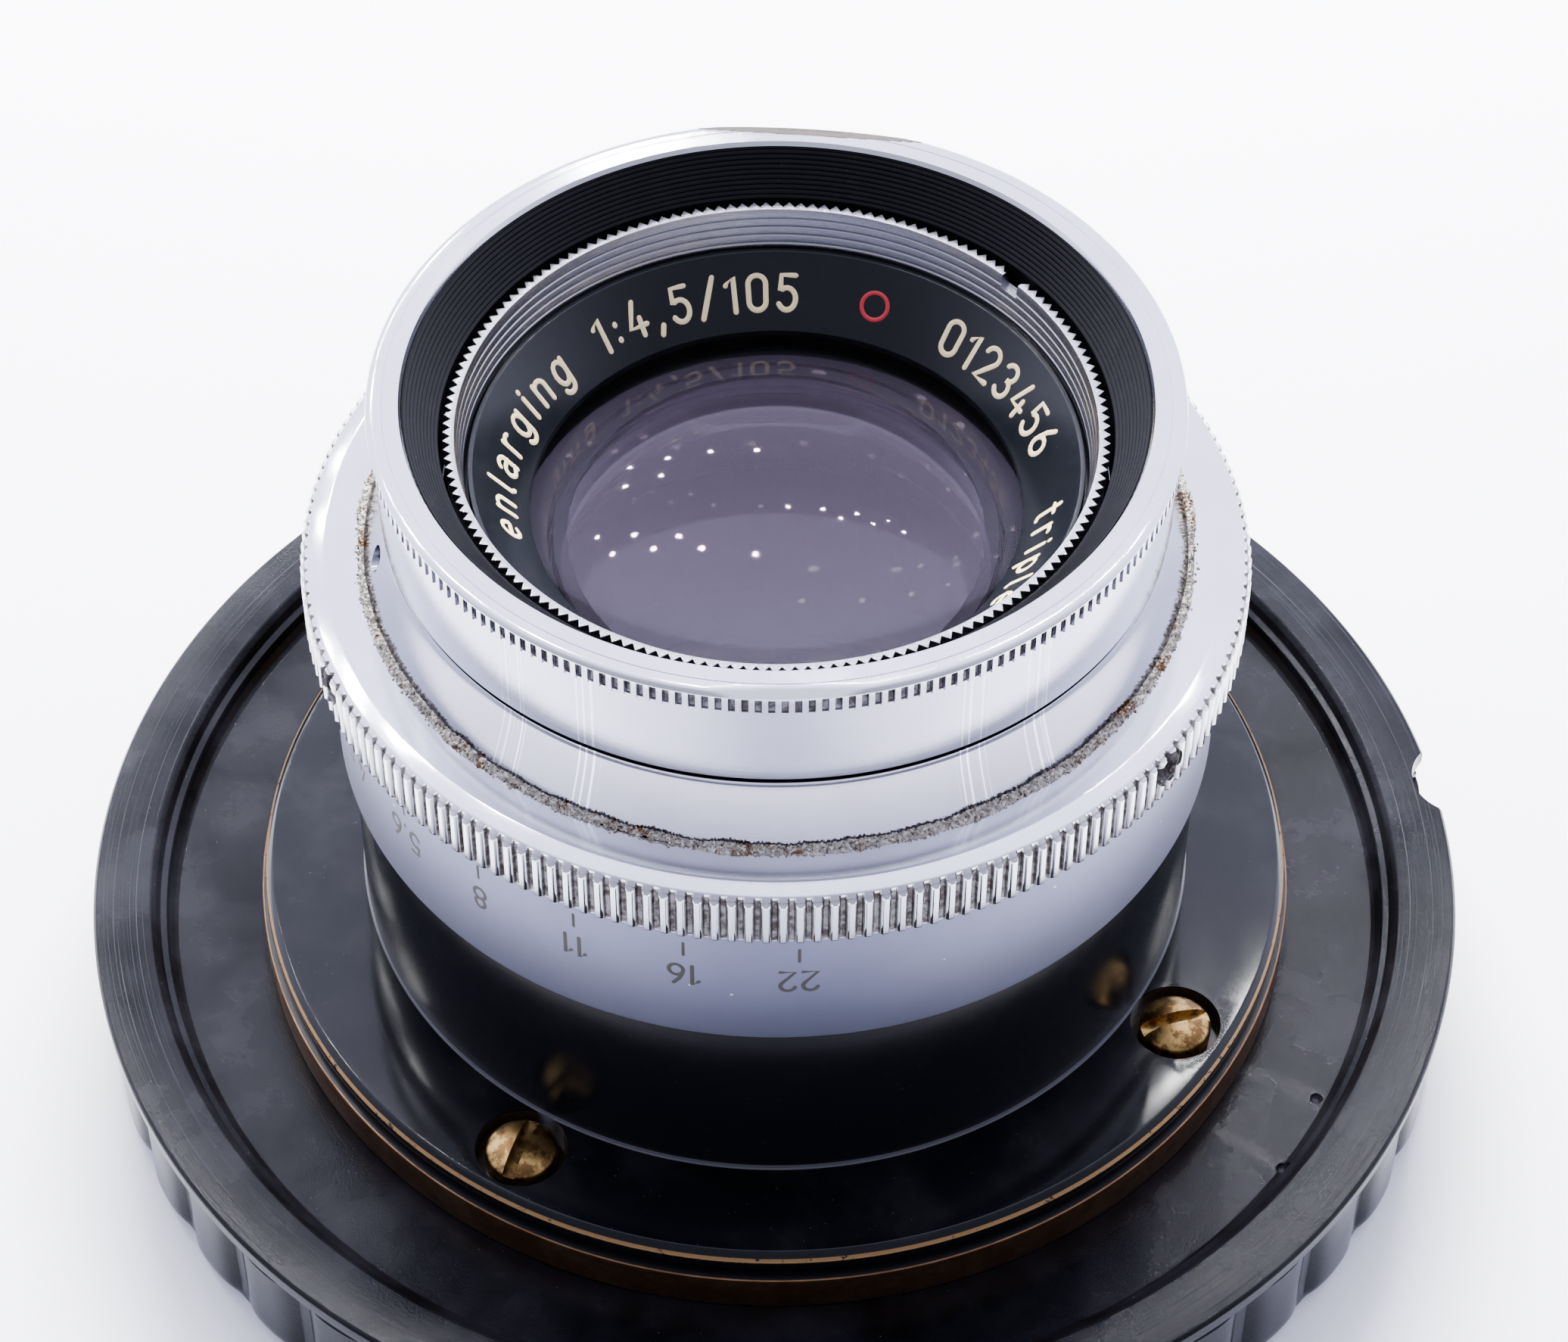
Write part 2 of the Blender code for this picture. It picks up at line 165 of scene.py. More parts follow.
def lathe(name, outline, material, angles=None, shape=None, sharp=30.0):
    """Turns a closed outline of (radius, depth) about the axis. shape(radius, depth, angle) gives the
    point's new radius and depth. Where the outline starts and ends on the axis, it closes there."""
    angles = angles or even(256)
    bm = bmesh.new()
    rows = []
    for radius, depth in outline:
        if radius < 1e-6:
            rows.append([bm.verts.new((0, 0, (HEIGHT - depth) * MM))] * len(angles))
            continue
        row = []
        for a in angles:
            r, d = shape(radius, depth, a) if shape else (radius, depth)
            row.append(bm.verts.new((r * MM * math.cos(a), r * MM * math.sin(a), (HEIGHT - d) * MM)))
        rows.append(row)
    if outline[0][0] > 1e-6:
        rows.append(rows[0])
    for upper, lower in zip(rows, rows[1:]):
        for k in range(len(angles)):
            n = (k + 1) % len(angles)
            corners = []
            for v in (upper[k], lower[k], lower[n], upper[n]):
                if v not in corners:
                    corners.append(v)
            bm.faces.new(corners)
    return to_object(name, bm, material, sharp)


def cut(target, cutter):
    """Cuts the target, applies the result and removes the cutter."""
    modifier = target.modifiers.new("cut", "BOOLEAN")
    modifier.object = cutter
    modifier.solver = "EXACT"
    bpy.context.view_layer.update()
    graph = bpy.context.evaluated_depsgraph_get()
    mesh = bpy.data.meshes.new_from_object(target.evaluated_get(graph))
    target.modifiers.clear()
    old = target.data
    target.data = mesh
    bpy.data.meshes.remove(old)
    bpy.data.objects.remove(cutter, do_unlink=True)
    mesh.shade_smooth()
    mesh.set_sharp_from_angle(angle=math.radians(30.0))


def as_cutter(bm):
    return to_object("cutter", bm, CUTTER_LOOK)


def rod(radius, length, place, steps=40):
    """A cylinder along the local Z of its place."""
    bm = bmesh.new()
    bmesh.ops.create_cone(bm, cap_ends=True, segments=steps, radius1=radius * MM, radius2=radius * MM,
                          depth=length * MM, matrix=place)
    return as_cutter(bm)


def slab(size, place):
    """A box of the given size, centred on its place."""
    bm = bmesh.new()
    scale = Matrix.Diagonal((size[0] * MM, size[1] * MM, size[2] * MM, 1.0))
    bmesh.ops.create_cube(bm, size=1.0, matrix=place @ scale)
    return as_cutter(bm)


def placed(radius, degrees, depth, outwards=False, spin=None):
    """Matrix at a radius, angle and depth. outwards turns local Z away from the axis. spin gives the
    world direction of local X, which otherwise points along the radius."""
    spot = Matrix.Translation(point(radius, depth, degrees))
    if spin is not None:
        return spot @ rotation(spin)
    if outwards:
        return spot @ rotation(degrees) @ rotation(90.0, "Y")
    return spot @ rotation(degrees)


def dress(obj, body, slot, *nodes):
    """Hands a finished piece to the frame: the body it rides and the nodes it stands for. slot is not used.
    """
    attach(obj, body)
    if nodes:
        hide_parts(*nodes)


# ---------------------------------------------------------------- material helpers

class Look:
    """A procedural Principled material with short names for the nodes that the finishes need."""

    def __init__(self, name, **values):
        self.material = bpy.data.materials.new(name)
        self.material.use_nodes = True
        self.tree = self.material.node_tree
        self.shader = self.tree.nodes["Principled BSDF"]
        self.where = self.tree.nodes.new("ShaderNodeTexCoord").outputs["Object"]
        self._polar = None
        for key, value in values.items():
            self.put(key.replace("_", " ").title().replace("Ior", "IOR"), value)

    def feed(self, node, key, value):
        socket = node.inputs[key]
        if isinstance(value, bpy.types.NodeSocket):
            self.tree.links.new(value, socket)
        elif isinstance(value, tuple) and len(value) == 3 and socket.type == "RGBA":
            socket.default_value = (*value, 1.0)
        else:
            socket.default_value = value

    def put(self, key, value):
        self.feed(self.shader, key, value)
        return self

    def finish(self, colour, rough):
        self.put("Base Color", colour).put("Roughness", rough)

    def calc(self, operation, a, b=0.0):
        node = self.tree.nodes.new("ShaderNodeMath")
        node.operation = operation
        self.feed(node, 0, a)
        self.feed(node, 1, b)
        return node.outputs[0]

    def times(self, a, b):
        return self.calc("MULTIPLY", a, b)

    def polar(self):
        """(radius, depth, angle in turns) of the shaded point, in millimetres."""
        if self._polar is None:
            split = self.tree.nodes.new("ShaderNodeSeparateXYZ")
            self.tree.links.new(self.where, split.inputs[0])
            x, y, z = split.outputs
            square = self.calc("ADD", self.times(x, x), self.times(y, y))
            radius = self.calc("DIVIDE", self.calc("SQRT", square), MM)
            depth = self.calc("SUBTRACT", HEIGHT, self.calc("DIVIDE", z, MM))
            angle = self.calc("DIVIDE", self.calc("ARCTAN2", y, x), math.tau)
            self._polar = radius, depth, angle
        return self._polar

    def fractal(self, where, scale, detail, rough):
        node = self.tree.nodes.new("ShaderNodeTexNoise")
        self.feed(node, "Vector", where)
        self.feed(node, "Scale", scale)
        self.feed(node, "Detail", detail)
        self.feed(node, "Roughness", rough)
        return node.outputs["Fac"]

    def noise(self, size, detail=4.0, rough=0.55):
        """Fractal noise with features of about the given size in millimetres."""
        return self.fractal(self.where, 1.0 / (size * MM), detail, rough)

    def lathe_marks(self, across, around, detail=6.0, rough=0.7):
        """Noise drawn out round the axis: it changes fast across the marks and slowly along them."""
        radius, depth, _ = self.polar()
        join = self.tree.nodes.new("ShaderNodeCombineXYZ")
        self.feed(join, 0, self.times(radius, across))
        self.feed(join, 1, self.times(depth, across))
        stretch = self.tree.nodes.new("ShaderNodeVectorMath")
        stretch.operation = "SCALE"
        self.feed(stretch, 0, self.where)
        self.feed(stretch, "Scale", around * MARK_STRETCH / MM)
        add = self.tree.nodes.new("ShaderNodeVectorMath")
        self.feed(add, 0, join.outputs[0])
        self.feed(add, 1, stretch.outputs[0])
        return self.fractal(add.outputs[0], MARK_SCALE, detail, rough)

    def upright_lines(self, degrees):
        """1 on thin lines that run along the axis, at uneven angles. They mark the painted glints."""
        join = self.tree.nodes.new("ShaderNodeCombineXYZ")
        self.feed(join, 0, degrees)
        return self.step(self.fractal(join.outputs[0], LINES_PER_DEGREE, 2.0, 0.5), 0.52, 0.60)

    def specks(self, size, share):
        """Small round specks, 1 inside and 0 outside. share is how far each one reaches."""
        node = self.tree.nodes.new("ShaderNodeTexVoronoi")
        self.feed(node, "Vector", self.where)
        self.feed(node, "Scale", 1.0 / (size * MM))
        return self.step(node.outputs["Distance"], share, share * 0.6)

    def patchy_specks(self, size, share, patch, detail, low=0.45, high=0.6):
        return self.times(self.specks(size, share), self.step(self.noise(patch, detail), low, high))

    def step(self, value, low, high):
        """0 at low and 1 at high, smooth between. low may be the greater."""
        node = self.tree.nodes.new("ShaderNodeMapRange")
        node.interpolation_type = "SMOOTHSTEP"
        self.feed(node, "Value", value)
        self.feed(node, "From Min", min(low, high))
        self.feed(node, "From Max", max(low, high))
        self.feed(node, "To Min", 0.0 if low < high else 1.0)
        self.feed(node, "To Max", 1.0 if low < high else 0.0)
        return node.outputs[0]

    def band(self, value, low, high, soft):
        """1 between low and high, 0 past them by soft."""
        return self.times(self.step(value, low - soft, low), self.step(value, high + soft, high))

    def blend(self, share, a, b, how="MIX"):
        """Mixes two colours: a where the share is 0."""
        node = self.tree.nodes.new("ShaderNodeMix")
        node.data_type = "RGBA"
        node.blend_type = how
        self.feed(node, 0, share)
        self.feed(node, 6, a)
        self.feed(node, 7, b)
        return node.outputs[2]

    def lerp(self, share, a, b):
        """Mixes two numbers: a where the share is 0."""
        node = self.tree.nodes.new("ShaderNodeMix")
        self.feed(node, 0, share)
        self.feed(node, 2, a)
        self.feed(node, 3, b)
        return node.outputs[0]

    def bump(self, height, distance, strength=1.0, under=None):
        """Bumps up to the given distance in millimetres, laid over another bump if one is given."""
        node = self.tree.nodes.new("ShaderNodeBump")
        self.feed(node, "Height", height)
        self.feed(node, "Distance", distance * MM)
        self.feed(node, "Strength", strength)
        if under is not None:
            self.feed(node, "Normal", under)
        self.put("Normal", node.outputs[0])
        return node.outputs[0]


MARK_SCALE = 3.0            # noise scale of the lathe marks
MARK_STRETCH = 0.02         # how slowly they change along themselves
LINES_PER_DEGREE = 1.7

CUTTER_LOOK = bpy.data.materials.new("cutter")
CHROME_COLOUR = (0.80, 0.81, 0.85)
DULL_CHROME_COLOUR = (0.72, 0.72, 0.76)
# painted shade: the tint that the chrome walls below the rim are multiplied by
PAINTED_WALL_SHADE_TINT = (1.0, 0.99, 1.10)
# painted glints: angle ranges of upright lines that the walls' painted shade leaves bright
PAINTED_GLINTS = ((-131.0, -127.0), (-119.0, -115.0), (-64.0, -60.0), (-53.0, -48.0))   # degrees on the walls
DIRT_COLOUR = (0.05, 0.035, 0.025)
DUSTY_DIRT_COLOUR = (0.15, 0.135, 0.13)
SOOT_COLOUR = (0.03, 0.03, 0.035)
BRASS_COLOUR = (0.24, 0.14, 0.06)
WHITE = (1.0, 1.0, 1.0)


def painted_wall_shade_and_glints(look, colour, wall):
    """The chrome's colour with painted shade on the wall below the rim, apart from a few upright painted
    glints.
    """
    _, depth, angle = look.polar()
    degrees = look.times(angle, 360.0)
    painted_glint_sector = 0.0
    for first, last in PAINTED_GLINTS:
        painted_glint_sector = look.calc("ADD", painted_glint_sector, look.band(degrees, first, last, 0.6))
    painted_glint = look.times(painted_glint_sector, look.upright_lines(degrees))
    # painted shade on the wall, left white where the painted glints run
    tint = look.blend(painted_glint, tuple(c * wall for c in PAINTED_WALL_SHADE_TINT), WHITE)
    return look.blend(look.step(depth, 0.3, 0.7), colour, tint, "MULTIPLY")


def grimy(look, colour, rough, grooves, soiling):
    """The chrome's colour and roughness with grime in its knurl."""
    radius, depth, _ = look.polar()
    edge, low, high = grooves
    grime = look.times(look.step(radius, edge, edge - 0.12), look.band(depth, low, high, 0.1))
    patch = look.step(look.noise(0.5, 6.0, 0.7), 0.40, 0.60)
    grime = look.times(grime, look.lerp(patch, 0.75, 1.0))
    dirt = look.blend(look.noise(0.3, 4.0), soiling, DUSTY_DIRT_COLOUR)
    return look.blend(grime, colour, dirt), look.lerp(grime, rough, 0.75)


def worn_flat(look, colour, rough):
    """The chrome's colour and roughness with bare brass on the flat at the back of the rim."""
    radius, depth, angle = look.polar()
    centre, half = RIM_FLATS[0]
    offset = look.calc("SUBTRACT", look.times(angle, math.tau), math.radians(centre))
    outward = look.times(radius, look.calc("COSINE", offset))
    beyond = look.calc("SUBTRACT", outward, RIM_R * math.cos(math.radians(half)))
    below_flat = look.calc("SUBTRACT", depth, look.times(beyond, FLAT_SLOPE))
    bare = look.times(look.band(below_flat, -0.02, 0.02, 0.01), look.step(depth, 0.008, 0.02))
    brass = look.blend(look.noise(0.6), (0.060, 0.038, 0.025), (0.100, 0.068, 0.050))
    return look.blend(bare, colour, brass), look.lerp(bare, rough, 0.45)


def chrome_look(name, grooves=None, soiling=DIRT_COLOUR, worn=False, wall=1.0):
    """Polished chrome with faint lathe marks, and upright hairlines that are painted glints. grooves is
    (radius, low, high): grime lies inside that radius between those depths. worn bares the brass of the
    rim's flat at the back. wall scales the colour down as painted shade on the upright wall below the rim."""
    look = Look(name, metallic=1.0, anisotropic=0.6, anisotropic_rotation=0.25)
    cloud = look.noise(6.0, 5.0)
    marks = look.lathe_marks(5.0, 1.0)
    colour = look.blend(look.step(cloud, 0.35, 0.75), CHROME_COLOUR, DULL_CHROME_COLOUR)
    rough = look.lerp(marks, 0.05, 0.15)
    # painted shade on the wall below the rim, with painted glints
    if wall < 1.0:
        colour = painted_wall_shade_and_glints(look, colour, wall)
    if grooves:
        colour, rough = grimy(look, colour, rough, grooves, soiling)
    if worn:
        colour, rough = worn_flat(look, colour, rough)
    look.finish(colour, rough)
    fine = look.bump(marks, 0.004, 0.5)
    look.bump(look.noise(0.25, 3.0), 0.002, 0.2, under=fine)
    return look.material


def silver_look():
    """Finely turned silver with a little grime."""
    look = Look("turned_silver_fine", metallic=1.0, anisotropic=0.55, anisotropic_rotation=0.25)
    marks = look.lathe_marks(12.0, 0.6)
    grime = look.step(look.noise(0.5, 5.0, 0.7), 0.62, 0.75)
    colour = look.blend(look.times(grime, 0.5), (0.42, 0.42, 0.45), (0.14, 0.13, 0.13))
    look.finish(colour, look.lerp(marks, 0.16, 0.36))
    look.bump(marks, 0.01, 0.6)
    return look.material


def satin_look():
    """Satin chrome with pale specks and a painted highlight along its lower edge."""
    look = Look("satin_chrome_fine", metallic=1.0)
    _, depth, _ = look.polar()
    grain = look.noise(0.05, 3.0, 0.6)
    cloud = look.noise(9.0, 4.0)
    speck = look.specks(2.4, 0.05)
    colour = look.blend(look.step(cloud, 0.3, 0.7), (0.158, 0.165, 0.232), (0.140, 0.147, 0.210))
    colour = look.blend(look.times(speck, 0.6), colour, (0.7, 0.7, 0.73))
    # painted highlight: a bright band along the sleeve's rounded lower edge
    edge = look.step(depth, BODY_BOTTOM - 0.12, BODY_BOTTOM - 0.04)
    colour = look.blend(edge, colour, (0.5, 0.48, 0.46))
    look.finish(colour, look.lerp(grain, 0.34, 0.46))
    look.bump(grain, 0.004, 0.35)
    return look.material


def matt_black_look(name, colour, rough, gloss, dust):
    """Blackened metal with grey dust specks and a faint grain."""
    look = Look(name, specular_ior_level=gloss)
    cloud = look.noise(1.2, 5.0, 0.6)
    speck = look.patchy_specks(0.55, 0.07, 2.4, 2.0)
    tint = look.blend(look.times(speck, dust), colour, (0.34, 0.33, 0.32))
    haze = look.times(look.step(cloud, 0.5, 0.8), 0.05 * dust)
    look.finish(look.blend(haze, tint, (0.4, 0.4, 0.42)), look.lerp(cloud, rough - 0.08, rough + 0.12))
    look.bump(look.noise(0.12, 3.0), 0.006, 0.4)
    return look.material


def lacquer_look(name, gloss, rough_low, rough_high):
    """Glossy black lacquer over brass: worn through on the flange's outer bevel, dusty on flats, with
    dirt in the counterbored screw holes."""
    look = Look(name, specular_ior_level=gloss)
    radius, depth, _ = look.polar()
    on_bevel = look.times(look.band(radius, FLANGE_R - 0.15, FLANGE_R - 0.03, 0.03),
                          look.band(depth, FLANGE_TOP + 0.05, FLANGE_TOP + 0.75, 0.05))
    bare = look.times(on_bevel, look.step(look.noise(0.7, 6.0, 0.75), 0.36, 0.44))
    top = look.band(depth, FLANGE_TOP - 0.1, FLANGE_TOP + 0.1, 0.05)
    dust = look.patchy_specks(0.5, 0.07, 3.0, 3.0)
    fluff = look.times(look.step(look.noise(0.35, 6.0, 0.8), 0.63, 0.70),
                       look.step(look.noise(4.0, 2.0), 0.45, 0.65))
    haze = look.times(look.step(look.noise(5.0, 6.0, 0.65), 0.40, 0.75), look.lerp(top, 0.0, 0.012))
    foot = look.times(look.step(depth, SHOULDER - 0.02, SHOULDER + 0.12),
                      look.band(radius, REAR_R - 0.15, REAR_R + 0.1, 0.05))
    sunk = look.times(look.band(depth, FLANGE_TOP + 0.12, SEAT_DEPTH + 0.2, 0.05),
                      look.band(radius, REAR_R + 0.1, LACQUER_R - 0.22, 0.05))
    dirt = look.blend(look.noise(0.4, 5.0), (0.05, 0.03, 0.016), (0.012, 0.008, 0.005))
    colour = look.blend(look.noise(4.0, 4.0), (0.0012, 0.0015, 0.0026), (0.0020, 0.0022, 0.0032))
    colour = look.blend(haze, colour, (0.5, 0.48, 0.50))
    colour = look.blend(look.times(dust, 0.10), colour, (0.48, 0.44, 0.36))
    colour = look.blend(look.times(fluff, look.lerp(top, 0.0, 0.05)), colour, (0.5, 0.45, 0.36))
    colour = look.blend(look.times(foot, 0.22), colour, (0.5, 0.5, 0.55))
    colour = look.blend(look.times(sunk, 0.8), colour, dirt)
    rough = look.lerp(dust, look.lerp(look.noise(1.5, 5.0), rough_low, rough_high), 0.8)
    look.finish(look.blend(bare, colour, BRASS_COLOUR), look.lerp(bare, rough, 0.38))
    look.put("Metallic", look.times(bare, 0.9))
    look.bump(look.noise(0.4, 4.0), 0.003, 0.2)
    return look.material


def brown_brass_look():
    """Brass gone brown on the outer wall, and near-black on its top face."""
    look = Look("tarnished_brass_fine", specular_ior_level=0.3)
    radius, _, _ = look.polar()
    wall = look.step(radius, BASE_R - 0.12, BASE_R - 0.05)
    marks = look.lathe_marks(4.0, 0.6, detail=5.0)
    patch = look.step(look.noise(2.2, 6.0, 0.7), 0.35, 0.7)
    colour = look.blend(patch, (0.17, 0.084, 0.038), (0.27, 0.150, 0.078))
    colour = look.blend(look.step(marks, 0.6, 0.8), colour, (0.08, 0.04, 0.02))
    look.finish(look.blend(wall, (0.002, 0.002, 0.003), colour), look.lerp(marks, 0.3, 0.5))
    look.put("Metallic", wall)
    look.bump(marks, 0.008, 0.4)
    return look.material


def screw_look():
    look = Look("worn_screw_brass", metallic=1.0)
    scratch = look.noise(0.25, 6.0, 0.75)
    stain = look.step(look.noise(0.9, 5.0, 0.7), 0.42, 0.58)
    colour = look.blend(stain, (0.44, 0.28, 0.095), (0.13, 0.070, 0.024))
    colour = look.blend(look.step(scratch, 0.62, 0.7), colour, (0.06, 0.035, 0.018))
    look.finish(colour, look.lerp(scratch, 0.22, 0.45))
    look.bump(scratch, 0.02, 0.5)
    return look.material


def steel_look():
    look = Look("rusty_steel")
    rust = look.step(look.noise(0.5, 6.0, 0.7), 0.4, 0.65)
    look.finish(look.blend(rust, (0.045, 0.043, 0.045), (0.10, 0.055, 0.03)), look.lerp(rust, 0.45, 0.85))
    look.put("Metallic", look.lerp(rust, 0.7, 0.0))
    look.bump(look.noise(0.3, 4.0), 0.05, 0.6)
    return look.material


def blade_look():
    look = Look("blued_steel_fine", metallic=0.8)
    grain = look.noise(0.4, 4.0)
    look.finish(look.blend(grain, (0.03, 0.03, 0.035), (0.07, 0.07, 0.08)), look.lerp(grain, 0.35, 0.5))
    look.bump(grain, 0.003, 0.3)
    return look.material


def glass_look(name, tint, speck=True):
    """Coated optical glass: clear, with a coloured reflection and, if asked for, a few dust specks."""
    look = Look(name, transmission_weight=1.0, ior=1.33, specular_ior_level=0.07, specular_tint=tint)
    rough = 0.0
    if speck:
        dust = look.patchy_specks(1.1, 0.03, 4.0, 2.0, 0.5, 0.65)
        rough = look.lerp(dust, 0.03, 0.6)
        look.bump(dust, 0.02, 0.3)
    look.finish((0.93, 0.93, 0.97), rough)
    return look.material


def moulded_look():
    """Aged phenolic moulding: speckled satin floor, circular scratches on the rim, polished ribs."""
    look = Look("moulded_phenolic", specular_ior_level=0.155)
    radius, depth, _ = look.polar()
    speckle = look.noise(0.16, 3.0, 0.65)
    cloud = look.noise(7.0, 6.0, 0.6)
    rim = look.times(look.step(radius, RIM_INNER_R, RIM_INNER_R + 0.1),
                     look.step(depth, MOUNT_TOP + 0.3, MOUNT_TOP + 0.2))
    scratch = look.lathe_marks(3.4, 0.35, rough=0.72)
    scored = look.times(rim, look.step(scratch, 0.56, 0.68))
    dust = look.patchy_specks(0.7, 0.06, 4.0, 3.0)
    colour = look.blend(look.step(cloud, 0.3, 0.75), (0.0009, 0.0010, 0.0014), (0.0070, 0.0070, 0.0095))
    colour = look.blend(look.times(scored, 0.22), colour, (0.12, 0.12, 0.14))
    colour = look.blend(look.times(dust, 0.12), colour, (0.36, 0.34, 0.31))
    look.finish(colour, look.lerp(look.step(cloud, 0.3, 0.8), 0.12, 0.24))
    grain = look.bump(speckle, 0.02, 0.6)
    wave = look.bump(look.noise(1.2, 3.0), 0.03, 0.4, under=grain)
    look.bump(scored, 0.02, 0.5, under=wave)
    return look.material


def crust_look():
    """Dirt and corrosion at the barrel's foot: grey-white grains, rust and soot."""
    look = Look("foot_crust", roughness=0.85, specular_ior_level=0.3)
    mottle = look.noise(1.6, 5.0, 0.75)
    grain = look.noise(0.26, 5.0, 0.8)
    colour = look.blend(look.step(mottle, 0.54, 0.60), (0.46, 0.42, 0.36), (0.20, 0.105, 0.042))
    colour = look.blend(look.step(grain, 0.53, 0.60), colour, (0.045, 0.028, 0.016))
    colour = look.blend(look.step(look.noise(0.24, 3.0), 0.54, 0.60), colour, (0.80, 0.77, 0.72))
    look.put("Base Color", colour)
    look.bump(grain, 0.08, 1.0)
    return look.material


def paint_look(name, colour, rough=0.5):
    """Paint that fills engraved signs, with darker worn spots."""
    look = Look(name)
    wear = look.noise(0.3, 5.0, 0.7)
    dark = tuple(c * 0.55 for c in colour)
    look.finish(look.blend(look.step(wear, 0.62, 0.75), colour, dark), rough)
    look.bump(wear, 0.01, 0.4)
    return look.material


# ---------------------------------------------------------------- lettering

def arc(cx, cy, rx, ry, start, end, steps=14):
    """Points of an elliptical arc, angles in degrees."""
    made = []
    for k in range(steps + 1):
        a = math.radians(start + (end - start) * k / steps)
        made.append((cx + rx * math.cos(a), cy + ry * math.sin(a)))
    return made


def dot(x, y):
    return [(x, y), (x, y + 0.02)]


# Each sign is (advance width, strokes). Capital height is 1 and x height 0.7.
SIGNS = {
    " ": (0.34, []),
    "0": (0.50, [arc(0.25, 0.75, 0.25, 0.25, 0, 180) + arc(0.25, 0.25, 0.25, 0.25, 180, 360)
                 + [(0.5, 0.75)]]),
    "1": (0.26, [[(0.0, 0.78), (0.22, 1.0), (0.22, 0.0)]]),
    "2": (0.50, [arc(0.25, 0.74, 0.25, 0.26, 165, -35) + [(0.0, 0.0), (0.5, 0.0)]]),
    "3": (0.48, [arc(0.23, 0.76, 0.23, 0.24, 150, -90) + arc(0.23, 0.27, 0.25, 0.27, 90, -150)]),
    "4": (0.52, [[(0.28, 1.0), (0.0, 0.28), (0.52, 0.28)], [(0.36, 0.5), (0.36, 0.0)]]),
    "5": (0.50, [[(0.46, 1.0), (0.08, 1.0), (0.05, 0.56)] + arc(0.24, 0.32, 0.26, 0.32, 125, -150)]),
    "6": (0.50, [arc(0.25, 0.28, 0.25, 0.28, 150, 510), [(0.03, 0.42), (0.14, 0.72), (0.34, 1.0)]]),
    "8": (0.50, [arc(0.25, 0.76, 0.21, 0.24, 0, 360), arc(0.25, 0.27, 0.25, 0.27, 0, 360)]),
    "/": (0.42, [[(0.0, -0.06), (0.42, 1.06)]]),
    ":": (0.10, [dot(0.05, 0.14), dot(0.05, 0.60)]),
    ",": (0.14, [[(0.12, 0.06), (0.03, -0.18)]]),
    ".": (0.10, [dot(0.05, 0.03)]),
    "a": (0.42, [arc(0.21, 0.49, 0.20, 0.21, 150, 0) + [(0.41, 0.0)],
                 [(0.41, 0.42), (0.2, 0.42)] + arc(0.2, 0.21, 0.2, 0.21, 90, 270) + [(0.41, 0.08)]]),
    "e": (0.46, [[(0.0, 0.36), (0.46, 0.36)] + arc(0.23, 0.35, 0.23, 0.35, 2, 305)]),
    "g": (0.44, [arc(0.22, 0.35, 0.22, 0.35, 0, 360), [(0.44, 0.7)] + arc(0.22, -0.06, 0.22, 0.22, 0, -150)]),
    "i": (0.06, [[(0.03, 0.0), (0.03, 0.7)], dot(0.03, 0.93)]),
    "l": (0.12, [[(0.03, 1.0), (0.03, 0.1), (0.12, 0.0)]]),
    "n": (0.42, [[(0.0, 0.0), (0.0, 0.7)],
                 [(0.0, 0.3)] + arc(0.21, 0.48, 0.21, 0.22, 180, 0) + [(0.42, 0.0)]]),
    "p": (0.44, [[(0.0, -0.28), (0.0, 0.7)], arc(0.22, 0.35, 0.22, 0.35, 0, 360)]),
    "r": (0.28, [[(0.0, 0.0), (0.0, 0.7)], [(0.0, 0.3)] + arc(0.2, 0.46, 0.2, 0.24, 180, 65)]),
    "s": (0.40, [arc(0.2, 0.52, 0.18, 0.18, 35, 250, 10) + arc(0.2, 0.18, 0.2, 0.18, 75, -150, 10)]),
    "t": (0.28, [[(0.1, 0.95), (0.1, 0.14)] + arc(0.22, 0.12, 0.12, 0.12, 180, 270, 6),
                 [(0.0, 0.7), (0.28, 0.7)]]),
}


ROUND_END = (25, 50, 80)    # degrees at which a stroke's round end has a section
# (across, height) of a stroke's domed section, with a keel that stays below the surface
STROKE_SECTION = ((-1.0, 0.0), (-0.5, 0.85), (0.0, 1.0), (0.5, 0.85), (1.0, 0.0), (0.0, -0.6))


def ribbon(bm, stroke, half, surface):
    """One closed domed stroke with round ends, 2 * half wide, laid on surface(u, v, height)."""
    pts = [Vector(p) for p in stroke]
    sections = []
    first = (pts[0] - pts[1]).normalized()
    last = (pts[-1] - pts[-2]).normalized()
    for t in reversed(ROUND_END):
        a = math.radians(t)
        sections.append((pts[0] + first * half * math.sin(a), -first, half * math.cos(a)))
    for i, p in enumerate(pts):
        along = (pts[min(i + 1, len(pts) - 1)] - pts[max(i - 1, 0)]).normalized()
        sections.append((p, along, half))
    for t in ROUND_END:
        a = math.radians(t)
        sections.append((pts[-1] + last * half * math.sin(a), last, half * math.cos(a)))
    rings = []
    for p, along, reach_across in sections:
        side = Vector((-along.y, along.x))
        ring = []
        for across, height in STROKE_SECTION:
            q = p + side * across * reach_across
            ring.append(bm.verts.new(surface(q.x, q.y, height)))
        rings.append(ring)
    for one, two in zip(rings, rings[1:]):
        for k in range(len(one)):
            n = (k + 1) % len(one)
            bm.faces.new((one[k], one[n], two[n], two[k]))
    bm.faces.new(rings[0])
    bm.faces.new(rings[-1][::-1])


def letters(bm, text, size, half, gap, surface, centre=False):
    """Lays a text along u, starting at u = 0, or centred there. size is the capitals' height."""
    u = 0.0
    if centre:
        u = -(sum(SIGNS[c][0] for c in text) * size + gap * (len(text) - 1)) / 2
    for sign in text:
        advance, strokes = SIGNS[sign]
        for stroke in strokes:
            ribbon(bm, [(u + x * size, y * size) for x, y in stroke], half, surface)
        u += advance * size + gap
